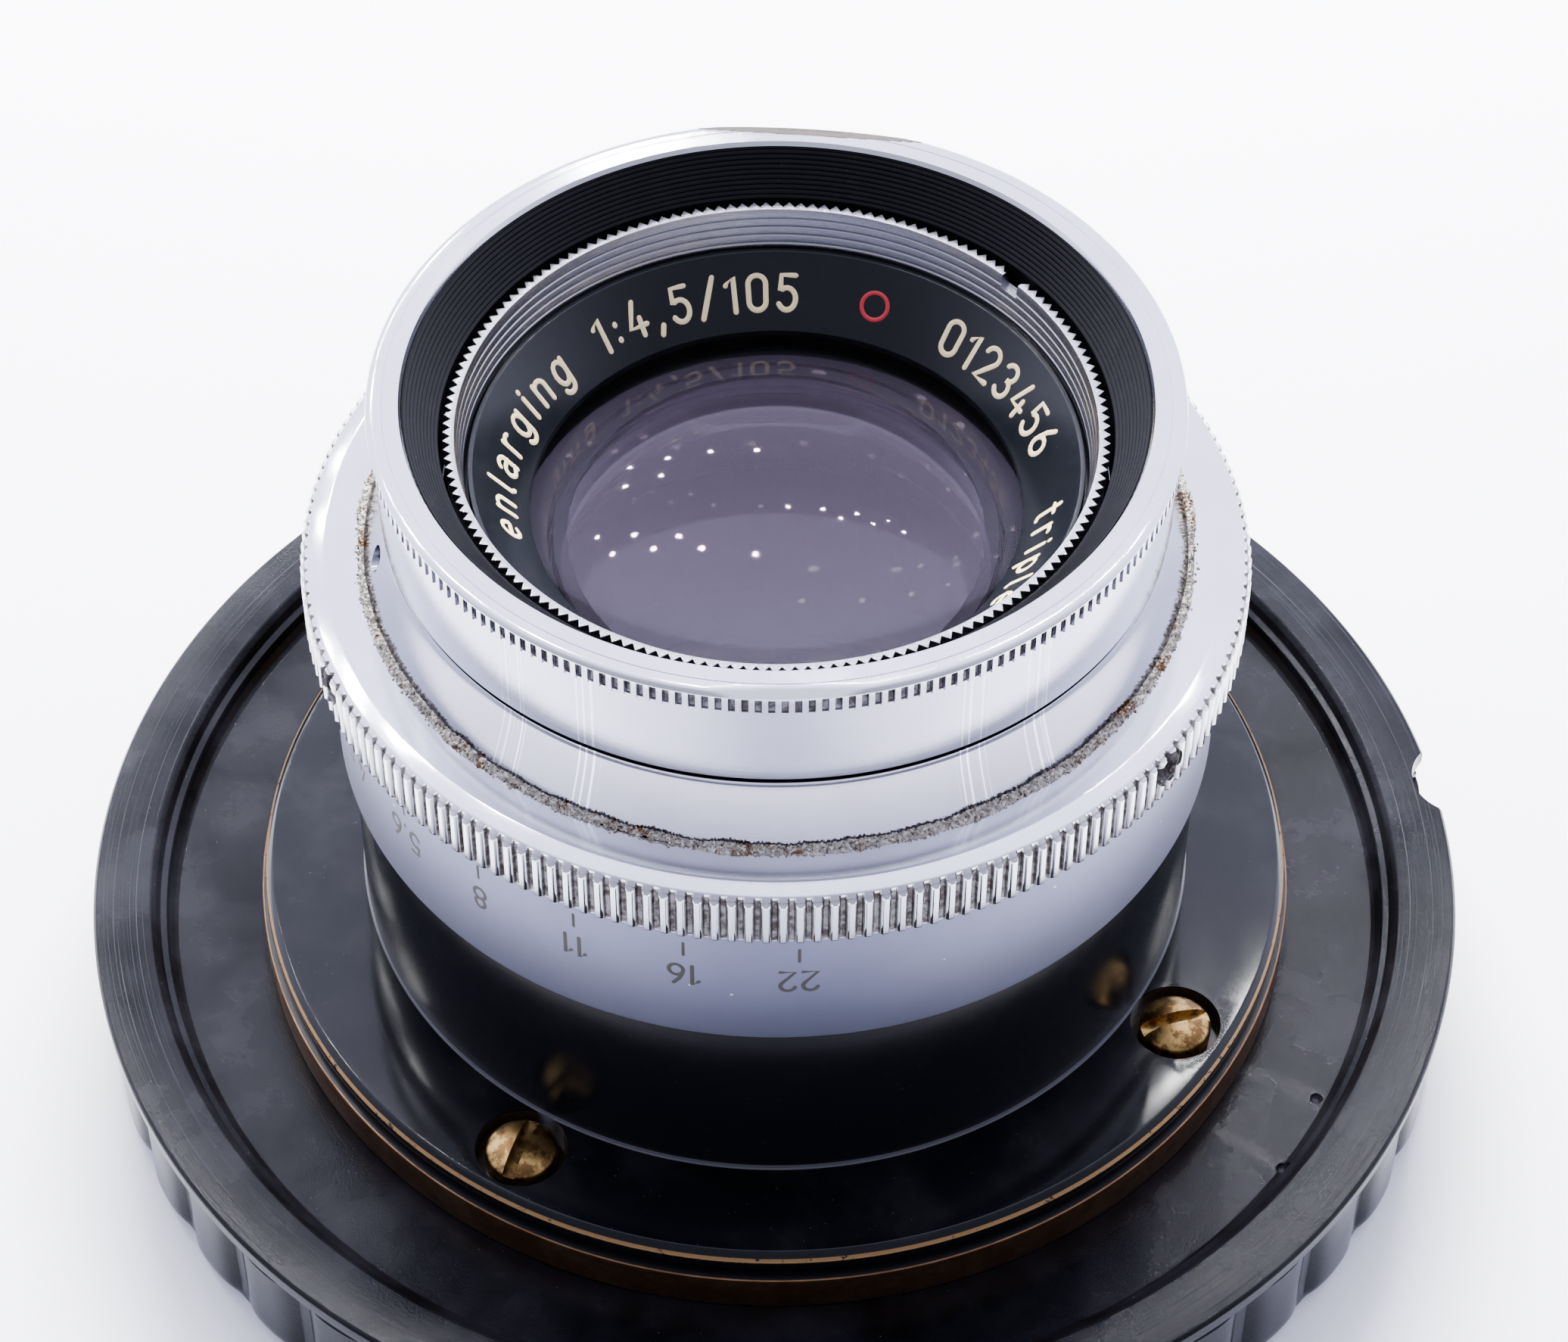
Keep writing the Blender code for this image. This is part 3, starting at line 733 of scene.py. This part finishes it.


# ---------------------------------------------------------------- the pieces

# wall sets the painted shade on the barrel's and the hood's walls, which keep painted glints
CHROME = chrome_look("polished_chrome_fine", grooves=(21.95, 8.4, 10.2), soiling=SOOT_COLOUR, wall=0.42)
HOOD_CHROME = chrome_look("hood_chrome", grooves=(22.04, 0.36, 1.5), soiling=SOOT_COLOUR, worn=True,
                          wall=0.66)
RING_CHROME = chrome_look("ring_chrome", grooves=(RING_R - 0.12, RING_TOP + 0.45, RING_BOTTOM - 0.1))
SILVER = silver_look()
SATIN = satin_look()
FUNNEL_BLACK = matt_black_look("funnel_black", (0.0032, 0.0032, 0.0040), 0.34, gloss=0.11, dust=0.12)
NAME_BLACK = matt_black_look("name_ring_black", (0.0036, 0.0045, 0.0062), 0.20, gloss=0.26, dust=0.06)
CELL_BLACK = matt_black_look("cell_black", (0.004, 0.004, 0.005), 0.5, gloss=0.2, dust=0.05)
BARREL_LACQUER = lacquer_look("barrel_lacquer", 0.10, 0.16, 0.26)
FLANGE_LACQUER = lacquer_look("flange_lacquer", 0.24, 0.06, 0.14)
BROWN_BRASS = brown_brass_look()
SCREW_BRASS = screw_look()
STEEL = steel_look()
BLADE = blade_look()
FRONT_GLASS = glass_look("front_glass_coated", (0.58, 0.40, 0.56))
INNER_GLASS = glass_look("inner_glass_coated", (0.42, 0.28, 0.36), speck=False)
MOULDED = moulded_look()
CRUST = crust_look()
CREAM_PAINT = paint_look("cream_filling", (0.88, 0.70, 0.38))
RED_PAINT = paint_look("red_filling", (0.42, 0.008, 0.02))
SCALE_PAINT = paint_look("scale_filling", (0.014, 0.012, 0.008), 0.6)


def knurled(edge, groove_depth, low, high, land, teeth):
    """shape() of a straight knurl outside the edge radius. land is the share of the pitch left uncut."""
    pitch = math.tau / teeth

    def shape(radius, depth, angle):
        share = (angle % pitch) / pitch
        in_groove = land + 0.03 < share < 0.99
        if radius > edge and low < depth < high and in_groove:
            return radius - groove_depth, depth
        return radius, depth

    return shape


def front_hood():
    """The chrome shell with its fine knurl, and the ridged black funnel inside it."""
    # the lip has points in its flat face too, where the worn flats start
    lip = [(20.28, 0.22), (20.42, 0.0), (20.7, 0.0), (20.95, 0.0), (21.1, 0.0), (21.25, 0.0)]
    line = [(21.30, 0.0), (21.33, 0.035), (21.36, 0.0)]
    edge = [(21.5, 0.0), (21.65, 0.0), (21.8, 0.0), (21.95, 0.03), (22.1, 0.11), (RIM_R, 0.24), (RIM_R, 0.29)]
    grip = [(22.14, 0.34), (22.14, 1.46), (22.06, 1.52)]
    tube = [(21.9, 1.56), (21.9, 1.62), (21.9, 6.66), (21.9, 6.72), (21.78, 6.85), (19.6, 6.85), (19.6, 2.0)]
    knurl = knurled(22.0, 0.3, 0.33, 1.53, 0.45, FINE_TEETH)

    def shape(radius, depth, angle):
        radius, depth = knurl(radius, depth, angle)
        if depth < 0.45 and radius > 20.5:
            for centre, half in RIM_FLATS:
                outward = radius * math.cos(angle - math.radians(centre))
                chord = RIM_R * math.cos(math.radians(half))
                depth = max(depth, (outward - chord) * FLAT_SLOPE)
        return radius, depth

    angles = toothed(FINE_TEETH, (0.0, 0.45, 0.51, 0.95))
    shell = lathe("hood_shell", lip + line + edge + grip + tube, HOOD_CHROME, angles, shape)
    dress(shell, LENS, "polished_chrome", "front_hood")

    ridges = 10
    funnel = [(20.24, 0.24)]
    for k in range(ridges):
        t = k / ridges
        depth = 0.34 + 2.25 * t
        r = 20.16 - 1.75 * t
        funnel += [(r, depth), (r + 0.02, depth + 0.07), (r - 0.15, depth + 0.15), (r - 0.17, depth + 0.2)]
    funnel += [(18.44, 2.62), (18.44, 6.7), (19.4, 6.7), (19.4, 2.1), (20.1, 0.75)]
    lining = lathe("hood_funnel", funnel, FUNNEL_BLACK, sharp=50)
    dress(lining, LENS, "black_anodised", "front_hood")


def retaining_ring():
    """The silver ring: teeth on its edge, four steps inside and one key notch."""
    outline = [
        (17.56, 2.66), (18.18, 2.65), (18.18, 3.05), (18.05, 3.3), (18.05, 5.7), (17.25, 5.7), (17.16, 5.08),
    ]
    tooth_depth = 0.42
    steps = 4
    for k in range(steps):
        t = 1.0 - k / steps
        depth = 2.85 + 2.1 * t
        r = 17.50 - 0.32 * t
        outline += [(r, depth), (r + 0.07, depth - 0.06), (r + 0.01, depth - 0.16)]
    outline = rounded(outline, 0.03, 2)
    pitch = math.tau / SERRATIONS

    def serrate(radius, depth, angle):
        share = abs((angle / pitch) % 1.0 - 0.5) * 2.0
        notch = tooth_depth * (1.0 - share) if radius > 18.1 and depth < 3.2 else 0.0
        return radius - notch, depth

    ring = lathe("retaining_ring_fine", outline, SILVER, toothed(SERRATIONS, (0.0, 0.5)), serrate, 25)
    cut(ring, slab((1.5, 1.25, 1.3), placed(18.0, 41.5, 2.85)))
    dress(ring, LENS, "turned_silver", "retaining_ring")


NAME_TOP = (16.72, 5.12)
NAME_FOOT = (13.68, 8.56)
BASELINE = 1.22             # from the cone's foot to the foot of the letters
FILLING = 0.035             # how far the filled letters stand out


def name_cone(start):
    """surface(u, v, height) on the name ring's cone: u clockwise from start, v outwards."""
    slant = Vector((NAME_TOP[0] - NAME_FOOT[0], NAME_TOP[1] - NAME_FOOT[1]))
    slant /= slant.length
    base = Vector(NAME_FOOT) + slant * BASELINE
    middle_r = base.x + slant.x

    def surface(u, v, height):
        r = base.x + slant.x * v + slant.y * height * FILLING
        depth = base.y + slant.y * v - slant.x * height * FILLING
        return point(r, depth, start - math.degrees(u / middle_r))

    return surface


def name_ring():
    """The black cone with its filled lettering and the red circle."""
    outline = rounded([
        (NAME_TOP[0] - 0.02, NAME_TOP[1]), (16.95, 5.1), (16.95, 6.0), (18.1, 6.0), (18.1, 9.0), (13.7, 9.0),
        NAME_FOOT,
    ], 0.05)
    dress(lathe("name_ring_fine", outline, NAME_BLACK), LENS, "black_anodised", "name_ring")
    bm = bmesh.new()
    size, half = 2.0, 0.175
    letters(bm, "enlarging", size, half, 0.98, name_cone(196.0))
    letters(bm, "1:4,5/105", size, half, 0.74, name_cone(132.5))
    letters(bm, "0123456", size, half, 0.70, name_cone(50.5))
    letters(bm, "triplet lens", size, half, 0.90, name_cone(-8.0))
    dress(to_object("name_ring_lettering", bm, CREAM_PAINT, 50), LENS, "black_anodised")
    bm = bmesh.new()
    ribbon(bm, arc(0.0, 0.95, 0.78, 0.78, 0, 360, 40), 0.14, name_cone(68.2))
    dress(to_object("red_index_circle", bm, RED_PAINT, 50), LENS, "black_anodised")


def spherical(edge, vertex, curve, count=28):
    """Points of a glass surface from its vertex on the axis out to its edge. curve is its radius."""
    made = []
    for i in range(count + 1):
        r = edge * i / count
        sag = abs(curve) - math.sqrt(curve * curve - r * r)
        made.append((r, vertex + math.copysign(sag, curve)))
    return made


def element(name, node, edge, front, front_curve, back, back_curve, material):
    """One lens element between the depths of its front and back vertices."""
    outline = spherical(edge, front, front_curve) + spherical(edge, back, back_curve)[::-1]
    dress(lathe(name, outline, material, even(192), sharp=40), LENS, "coated_glass", node)


def glasses():
    element("front_glass_fine", "front_glass", 15.45, 6.22, 32.0, 11.58, -400.0, FRONT_GLASS)
    element("middle_glass_fine", "middle_glass", 11.95, 13.92, -60.0, 14.83, 90.0, INNER_GLASS)
    element("rear_glass_fine", "rear_glass", 11.65, 28.02, 90.0, 31.28, -38.0, INNER_GLASS)


def flared_wall(steps=12):
    """The barrel's hollow flare, from under the hood to the foot."""
    made = []
    for i in range(steps + 1):
        t = i / steps
        made.append((BARREL_R + (FOOT_R - BARREL_R) * t ** 1.25, FLARE_TOP + (FLARE_BOTTOM - FLARE_TOP) * t))
    return made


def main_barrel():
    """The flared chrome barrel with the drive pin's slot and the set screw's hole."""
    outline = rounded([(18.4, 7.15), (BARREL_R, 7.15)] + flared_wall() + [
        (FOOT_R, 14.9), (20.5, 14.9), (20.5, 24.0), (16.8, 24.0),
        (16.8, 34.0), (14.5, 34.0), (14.5, 19.8), (18.4, 19.8),
    ], 0.07)
    barrel = lathe("main_barrel_fine", outline, CHROME)
    slot_start, slot_turn = 13.0, 84.0
    slot_top, slot_bottom = 12.95, 14.75
    bm = bmesh.new()
    corners = ((17.5, slot_bottom), (24.0, slot_bottom), (24.0, slot_top), (17.5, slot_top))
    face = bm.faces.new([bm.verts.new(point(r, depth, slot_start)) for r, depth in corners])
    bmesh.ops.spin(bm, geom=[face], cent=(0, 0, 0), axis=(0, 0, 1), angle=math.radians(slot_turn), steps=30)
    cut(barrel, as_cutter(bm))
    cut(barrel, rod(0.75, 4.0, placed(BARREL_R, -170.0, 9.3, outwards=True)))
    dress(barrel, LENS, "polished_chrome", "main_barrel")


def aperture_ring():
    """The ring with its coarse knurl, three grub screws and the drive pin's hole."""
    inner = FOOT_R + 0.1
    outline = rounded([
        (inner, RING_TOP + 0.25), (inner + 0.25, RING_TOP + 0.02), (25.25, RING_TOP), (26.12, RING_TOP + 0.2),
        (RING_R, RING_TOP + 0.6), (RING_R, RING_BOTTOM - 0.25), (26.3, RING_BOTTOM), (inner, RING_BOTTOM),
    ], 0.08)
    pitch = math.tau / COARSE_TEETH
    groove_r = RING_R - 0.38

    def shape(radius, depth, angle):
        share = (angle % pitch) / pitch
        if 0.58 < share < 0.92:
            return min(radius, groove_r), depth
        shoulder = RING_R - (0.0 if 0.05 < share < 0.45 else 0.1)
        return min(radius, shoulder), depth

    angles = toothed(COARSE_TEETH, (0.0, 0.1, 0.4, 0.5, 0.62, 0.88))
    ring = lathe("aperture_ring_fine", outline, RING_CHROME, angles, shape)
    for degrees in GRUB_ANGLES:
        cut(ring, rod(1.12, 6.0, placed(RING_R, degrees, GRUB_DEPTH, outwards=True)))
    cut(ring, rod(0.7, 4.0, placed(FOOT_R + 0.5, 20.0, 13.85, outwards=True)))
    dress(ring, CONTROL, "polished_chrome", "aperture_ring")
    for i, degrees in enumerate(GRUB_ANGLES):
        screw = rod(0.98, 2.2, placed(RING_R - 2.0, degrees, GRUB_DEPTH, outwards=True), 32)
        slot = placed(RING_R - 0.9, degrees, GRUB_DEPTH) @ Matrix.Rotation(0.5, 4, "X")
        cut(screw, slab((0.9, 0.32, 3.0), slot))
        screw.name = f"grub_screw_{i + 1}"
        screw.data.materials.clear()
        screw.data.materials.append(STEEL)
        dress(screw, CONTROL, "dark_steel", f"ring_grub_screw_{i + 1}")


def foot_crust():
    """Uneven crust of dirt on the aperture ring, against the barrel but clear of it."""
    bm = bmesh.new()
    inner, count, across = FOOT_R + 0.025, 2400, 8
    rows = []
    for i in range(count):
        turn = Matrix.Rotation(math.tau * i / count, 3, "Z")
        here = turn @ Vector((1.0, 0.0, 0.0))
        width = max(0.18, 0.42 + 0.28 * noise.noise(here * 6.0) + 0.14 * noise.noise(here * 60.0))
        tall = 0.30 + 0.20 * noise.noise(here * 14.0 + Vector((3, 0, 0)))
        row = []
        for k in range(across):
            t = k / (across - 1)
            lump = 0.20 * noise.noise(here * 260.0 + Vector((0, 0, k * 1.9)))
            r = inner + width * t + (0.5 * lump if k else 0.0)
            lift = max(0.015, tall * (1.0 - t * t) + lump) if k < across - 1 else 0.0
            row.append(bm.verts.new(turn @ point(r, RING_TOP + 0.02 - lift, 0.0)))
        row.append(bm.verts.new(turn @ point(inner, RING_TOP + 0.2, 0.0)))
        rows.append(row)
    for one, two in zip(rows, rows[1:] + rows[:1]):
        for k in range(len(one)):
            n = (k + 1) % len(one)
            bm.faces.new((one[k], two[k], two[n], one[n]))
    dress(to_object("foot_crust", bm, CRUST, 60), CONTROL, "polished_chrome")


def crust_grains():
    """Loose grains of the same dirt beside the crust."""
    random.seed(7)
    bm = bmesh.new()
    for _ in range(900):
        a = random.uniform(0.0, 360.0)
        r = FOOT_R + 0.2 + random.uniform(0.05, 0.45) * random.uniform(0.4, 1.0)
        size = random.uniform(0.03, 0.10)
        stretch = [random.uniform(0.7, 1.4), random.uniform(0.7, 1.4), random.uniform(0.5, 1.0)]
        # the same number read as radians turns each grain another way
        place = Matrix.Translation(point(r, RING_TOP - size * 0.3, a)) @ Matrix.Rotation(a, 4, "Z")
        place = place @ Matrix.Diagonal((*stretch, 1.0))
        bmesh.ops.create_icosphere(bm, subdivisions=1, radius=size * MM, matrix=place)
    dress(to_object("crust_grains", bm, CRUST, 80), CONTROL, "polished_chrome")


SCALE_DEPTH = 18.45         # baseline of the aperture numbers, which stand upside down
SCALE_RELIEF = 0.012        # how far they stand out


def on_body(degrees):
    """surface(u, v, height) on the satin sleeve: u clockwise from an angle, v downwards."""
    def surface(u, v, height):
        return point(BODY_R + height * SCALE_RELIEF, SCALE_DEPTH + v, degrees - math.degrees(u / BODY_R))

    return surface


def lower_body():
    """The satin sleeve with the aperture scale."""
    outline = rounded([
        (20.8, BODY_TOP), (BODY_R, BODY_TOP), (BODY_R, BODY_BOTTOM - 0.1), (BODY_R - 0.1, BODY_BOTTOM),
        (23.9, BODY_BOTTOM), (23.9, 16.5), (20.8, 16.5),
    ], 0.06)
    dress(lathe("lower_body_fine", outline, SATIN), LENS, "satin_chrome", "lower_body")
    first, step = -87.0, 14.0
    bm = bmesh.new()
    for i, stop in enumerate(("22", "16", "11", "8", "5.6", "4.5")):
        surface = on_body(first - step * i)
        letters(bm, stop, 1.6, 0.12, 0.42, surface, centre=True)
        ribbon(bm, [(0.0, -1.9), (0.0, -0.9)], 0.09, surface)
    dress(to_object("aperture_scale", bm, SCALE_PAINT, 50), LENS, "satin_chrome")


def rear_barrel():
    """The black cylinder and its neck, with the thread as closed grooves."""
    neck_r, root_r, neck_foot, pitch, turns = 19.7, 19.45, 47.3, 0.7, 13
    outline = [
        (22.2, 20.0), (23.6, 20.0), (23.6, 24.6), (REAR_R, 24.6), (REAR_R, SHOULDER + 0.26),
        (neck_r, SHOULDER + 0.26),
    ]
    for k in range(turns):
        depth = 38.0 + pitch * k
        outline += [(neck_r, depth), (root_r, depth + 0.3), (root_r, depth + 0.36), (neck_r, depth + 0.62)]
    outline += [(neck_r, neck_foot), (17.1, neck_foot), (17.1, 35.4), (22.2, 35.4)]
    barrel = lathe("rear_barrel_fine", rounded(outline, 0.05, 2), BARREL_LACQUER)
    dress(barrel, LENS, "black_lacquer", "rear_barrel")


def drill(obj, radius, centre, length):
    """Cuts the four screw holes. centre is the depth of the drill's middle."""
    for degrees in SCREW_ANGLES:
        cut(obj, rod(radius, length, placed(SCREW_CIRCLE_R, degrees, centre)))


def flange():
    """The lacquered flange with counterbored holes, and the brown ring under it."""
    outline = rounded([
        (20.0, FLANGE_TOP), (LACQUER_R, FLANGE_TOP), (FLANGE_R, FLANGE_TOP + 0.5), (FLANGE_R, 38.4),
        (30.3, 38.5), (30.3, FLANGE_BOTTOM), (20.0, FLANGE_BOTTOM),
    ], 0.08)
    disc = lathe("flange_fine", outline, FLANGE_LACQUER)
    drill(disc, SHANK_HOLE_R, 38.0, 6.0)
    drill(disc, HEAD_HOLE_R, SEAT_DEPTH - 2.0, 4.0)
    dress(disc, LENS, "black_lacquer", "flange")
    top, bottom = BASE_TOP - 0.24, BASE_BOTTOM + 0.26
    outline = rounded([(20.0, top), (BASE_R, top), (BASE_R, bottom), (20.0, bottom)], 0.1)
    ring = lathe("flange_base_ring_fine", outline, BROWN_BRASS)
    drill(ring, SHANK_HOLE_R, 40.4, 6.0)
    dress(ring, LENS, "tarnished_brass", "flange_base_ring")


def flange_screws():
    """Four domed slotted screws."""
    dome_r, dome_foot, dome_height = 2.08, 37.62, 0.86
    head_foot, shank_r, tip = 38.08, 1.25, 43.7
    profile = [(0.0, dome_foot - dome_height)]
    for t in range(9, 91, 9):
        a = math.radians(t)
        profile.append((dome_r * math.sin(a), dome_foot - dome_height * math.cos(a)))
    profile += [(dome_r, head_foot), (shank_r, head_foot), (shank_r, tip), (0.0, tip)]
    for i, (degrees, slot_turn) in enumerate(zip(SCREW_ANGLES, SLOT_ANGLES)):
        screw = lathe(f"flange_screw_fine_{i + 1}", profile, SCREW_BRASS, even(64))
        screw.data.transform(Matrix.Translation(point(SCREW_CIRCLE_R, HEIGHT, degrees)))
        cut(screw, slab((6.0, 0.74, 1.3), placed(SCREW_CIRCLE_R, degrees, 36.85, spin=slot_turn)))
        dress(screw, LENS, "bright_brass", f"flange_screw_{i + 1}")


def lens_mount():
    """The moulding: dish with two pits, flat rim with a notch, and ribbed skirt."""
    pitch = math.tau / RIBS
    valley_r, rib_r = 40.6, 41.2
    rib_top, rib_bottom = 41.02, 48.25
    rib_end, rib_end_length = 47.2, 0.95
    half_rib = 0.40         # half a rib's width, as a share of the pitch
    outline = rounded([
        (20.0, FLOOR_DEPTH), (36.5, FLOOR_DEPTH), (36.75, 41.5), (37.05, 41.1), (37.1, 40.5), (37.5, 40.35),
        (37.7, 39.85), (RIM_INNER_R, MOUNT_TOP + 0.06), (38.12, MOUNT_TOP), (MOUNT_R - 0.2, MOUNT_TOP),
        (MOUNT_R, MOUNT_TOP + 0.22), (MOUNT_R, 40.5), (40.75, 40.95),
    ], 0.06)
    skirt = [(valley_r, 41.0)]
    skirt += [(valley_r, 41.05 + 0.3 * k) for k in range(1, 22)]
    skirt += [(valley_r, 47.5 + 0.08 * k) for k in range(1, 10)]
    skirt += [(valley_r, 48.3), (valley_r - 0.1, 48.5), (valley_r - 0.25, MOUNT_BOTTOM), (37.9, MOUNT_BOTTOM),
              (37.8, 48.5), (37.8, 44.0), (20.0, 44.0)]

    def shape(radius, depth, angle):
        if abs(radius - valley_r) > 1e-6 or not rib_top < depth < rib_bottom:
            return radius, depth
        across = abs(((angle / pitch) % 1.0) - 0.5) / half_rib
        if across >= 1.0:
            return radius, depth
        swell = math.sqrt(1.0 - across ** 2.6)
        into_end = (depth - rib_end) / rib_end_length
        if into_end > 0:
            swell *= math.sqrt(max(0.0, 1.0 - into_end ** 2))
        return radius + (rib_r - valley_r) * swell, depth

    points_a_rib = 14
    fractions = [k / points_a_rib for k in range(points_a_rib)]
    mount = lathe("lens_mount_fine", outline + skirt, MOULDED, toothed(RIBS, fractions), shape, 40)
    drill(mount, SHANK_HOLE_R, 42.8, 6.0)
    notch_r, notch_degrees = 2.95, 8.6
    cut(mount, rod(notch_r, 3.4, placed(43.1, notch_degrees, 40.0), 64))
    pits = ((36.0, -27.5), (36.6, -36.2))
    for r, degrees in pits:
        bm = bmesh.new()
        bmesh.ops.create_uvsphere(bm, u_segments=24, v_segments=12, radius=0.5 * MM,
                                  matrix=Matrix.Translation(point(r, FLOOR_DEPTH - 0.3, degrees)))
        cut(mount, as_cutter(bm))
    dress(mount, LENS, "moulded_black", "lens_mount")


def hidden_pieces():
    """CAD nodes that keep their shape and only get a better finish."""
    finishes = {"lock_ring": BARREL_LACQUER, "barrel_set_screw": STEEL, "drive_pin": STEEL}
    for name in ("front_cell", "spacer_ring", "iris_plate", "rear_cell", "rear_retaining_ring",
                 "iris_drive_ring"):
        finishes[name] = CELL_BLACK
    for name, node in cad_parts.items():
        if name.startswith("iris_blade"):
            finishes[name] = BLADE
        if name in finishes:
            for holder in node.material_slots:
                holder.material = finishes[name]


# ---------------------------------------------------------------- stage

# Everything on the stage is in metres.
CEILING = 1.04
# rows of small lamps overhead: the place of the first, the step to the next, how many, power, radius
LAMP_ROWS = (
    ((-0.08, 1.24), (-0.20, 0.05), 4, 5.0, 0.011),
    ((-0.48, 1.12), (-0.18, 0.03), 2, 5.0, 0.011),
    ((-0.07, 0.41), (-0.19, 0.063), 4, 5.0, 0.011),
    ((-0.35, 0.57), (-0.195, 0.10), 3, 5.0, 0.011),
    ((0.04, 0.69), (0.127, 0.005), 4, 2.0, 0.007),
    ((0.23, 0.65), (0.126, 0.005), 3, 2.0, 0.007),
)


def back_light():
    """A soft panel behind the lens that doesn't show in its reflections."""
    lamp = bpy.data.lights.new("back_light", "AREA")
    lamp.shape = "RECTANGLE"
    lamp.size, lamp.size_y = 0.28, 0.12
    lamp.energy = 14.0
    place, target = Vector((0.0, 0.30, 0.24)), Vector((0.0, 0.05, 0.0))
    made = add_object("back_light", lamp)
    made.location = place
    made.rotation_mode = "QUATERNION"
    made.rotation_quaternion = (target - place).to_track_quat("-Z", "Y")
    made.visible_glossy = False
    made.visible_transmission = False


def studio_world():
    """Soft bluish-white surroundings, brighter behind the lens than on the camera's side."""
    world = bpy.data.worlds.new("studio")
    world.use_nodes = True
    tree = world.node_tree
    where = tree.nodes.new("ShaderNodeTexCoord")
    split = tree.nodes.new("ShaderNodeSeparateXYZ")
    ramp = tree.nodes.new("ShaderNodeMapRange")
    ramp.interpolation_type = "SMOOTHSTEP"
    tree.links.new(where.outputs["Generated"], split.inputs[0])
    tree.links.new(split.outputs[1], ramp.inputs["Value"])
    for socket, value in (("From Min", -0.6), ("From Max", 0.55), ("To Min", 0.75), ("To Max", 3.6)):
        ramp.inputs[socket].default_value = value
    background = tree.nodes["Background"]
    background.inputs["Color"].default_value = (0.86, 0.88, 1.16, 1.0)
    tree.links.new(ramp.outputs[0], background.inputs["Strength"])
    bpy.context.scene.world = world


def ceiling_lamp(x, y, power, radius):
    lamp = bpy.data.lights.new("ceiling_lamp", "POINT")
    lamp.energy = power
    lamp.shadow_soft_size = radius
    add_object("ceiling_lamp", lamp).location = (x, y, CEILING)


def stage():
    bm = bmesh.new()
    bmesh.ops.create_grid(bm, x_segments=1, y_segments=1, size=3.0)
    look = Look("pale_floor", base_color=(0.95, 0.95, 0.985), roughness=0.75)
    floor = to_object("floor", bm, look.material)
    floor.location.z = -0.0001
    studio_world()
    back_light()
    for start, step, count, power, radius in LAMP_ROWS:
        for k in range(count):
            ceiling_lamp(start[0] + step[0] * k, start[1] + step[1] * k, power, radius)


def camera():
    """The camera stands 153 mm above the front rim and 158 mm in front of the axis, and looks down."""
    data = bpy.data.cameras.new("camera")
    data.sensor_width = 36.0
    data.lens = 93.35
    data.clip_start = 0.01
    made = add_object("camera", data)
    down, pan, roll = 48.04, -0.176, 0.36
    above_rim, before_axis = 0.1530, 0.1580
    place = Matrix.Translation((0.0, -before_axis, HEIGHT * MM + above_rim))
    made.matrix_world = place @ rotation(pan) @ rotation(90.0 - down, "X") @ rotation(roll)
    bpy.context.scene.camera = made


front_hood()
retaining_ring()
name_ring()
glasses()
main_barrel()
aperture_ring()
foot_crust()
crust_grains()
lower_body()
rear_barrel()
flange()
flange_screws()
lens_mount()
hidden_pieces()
stage()
camera()
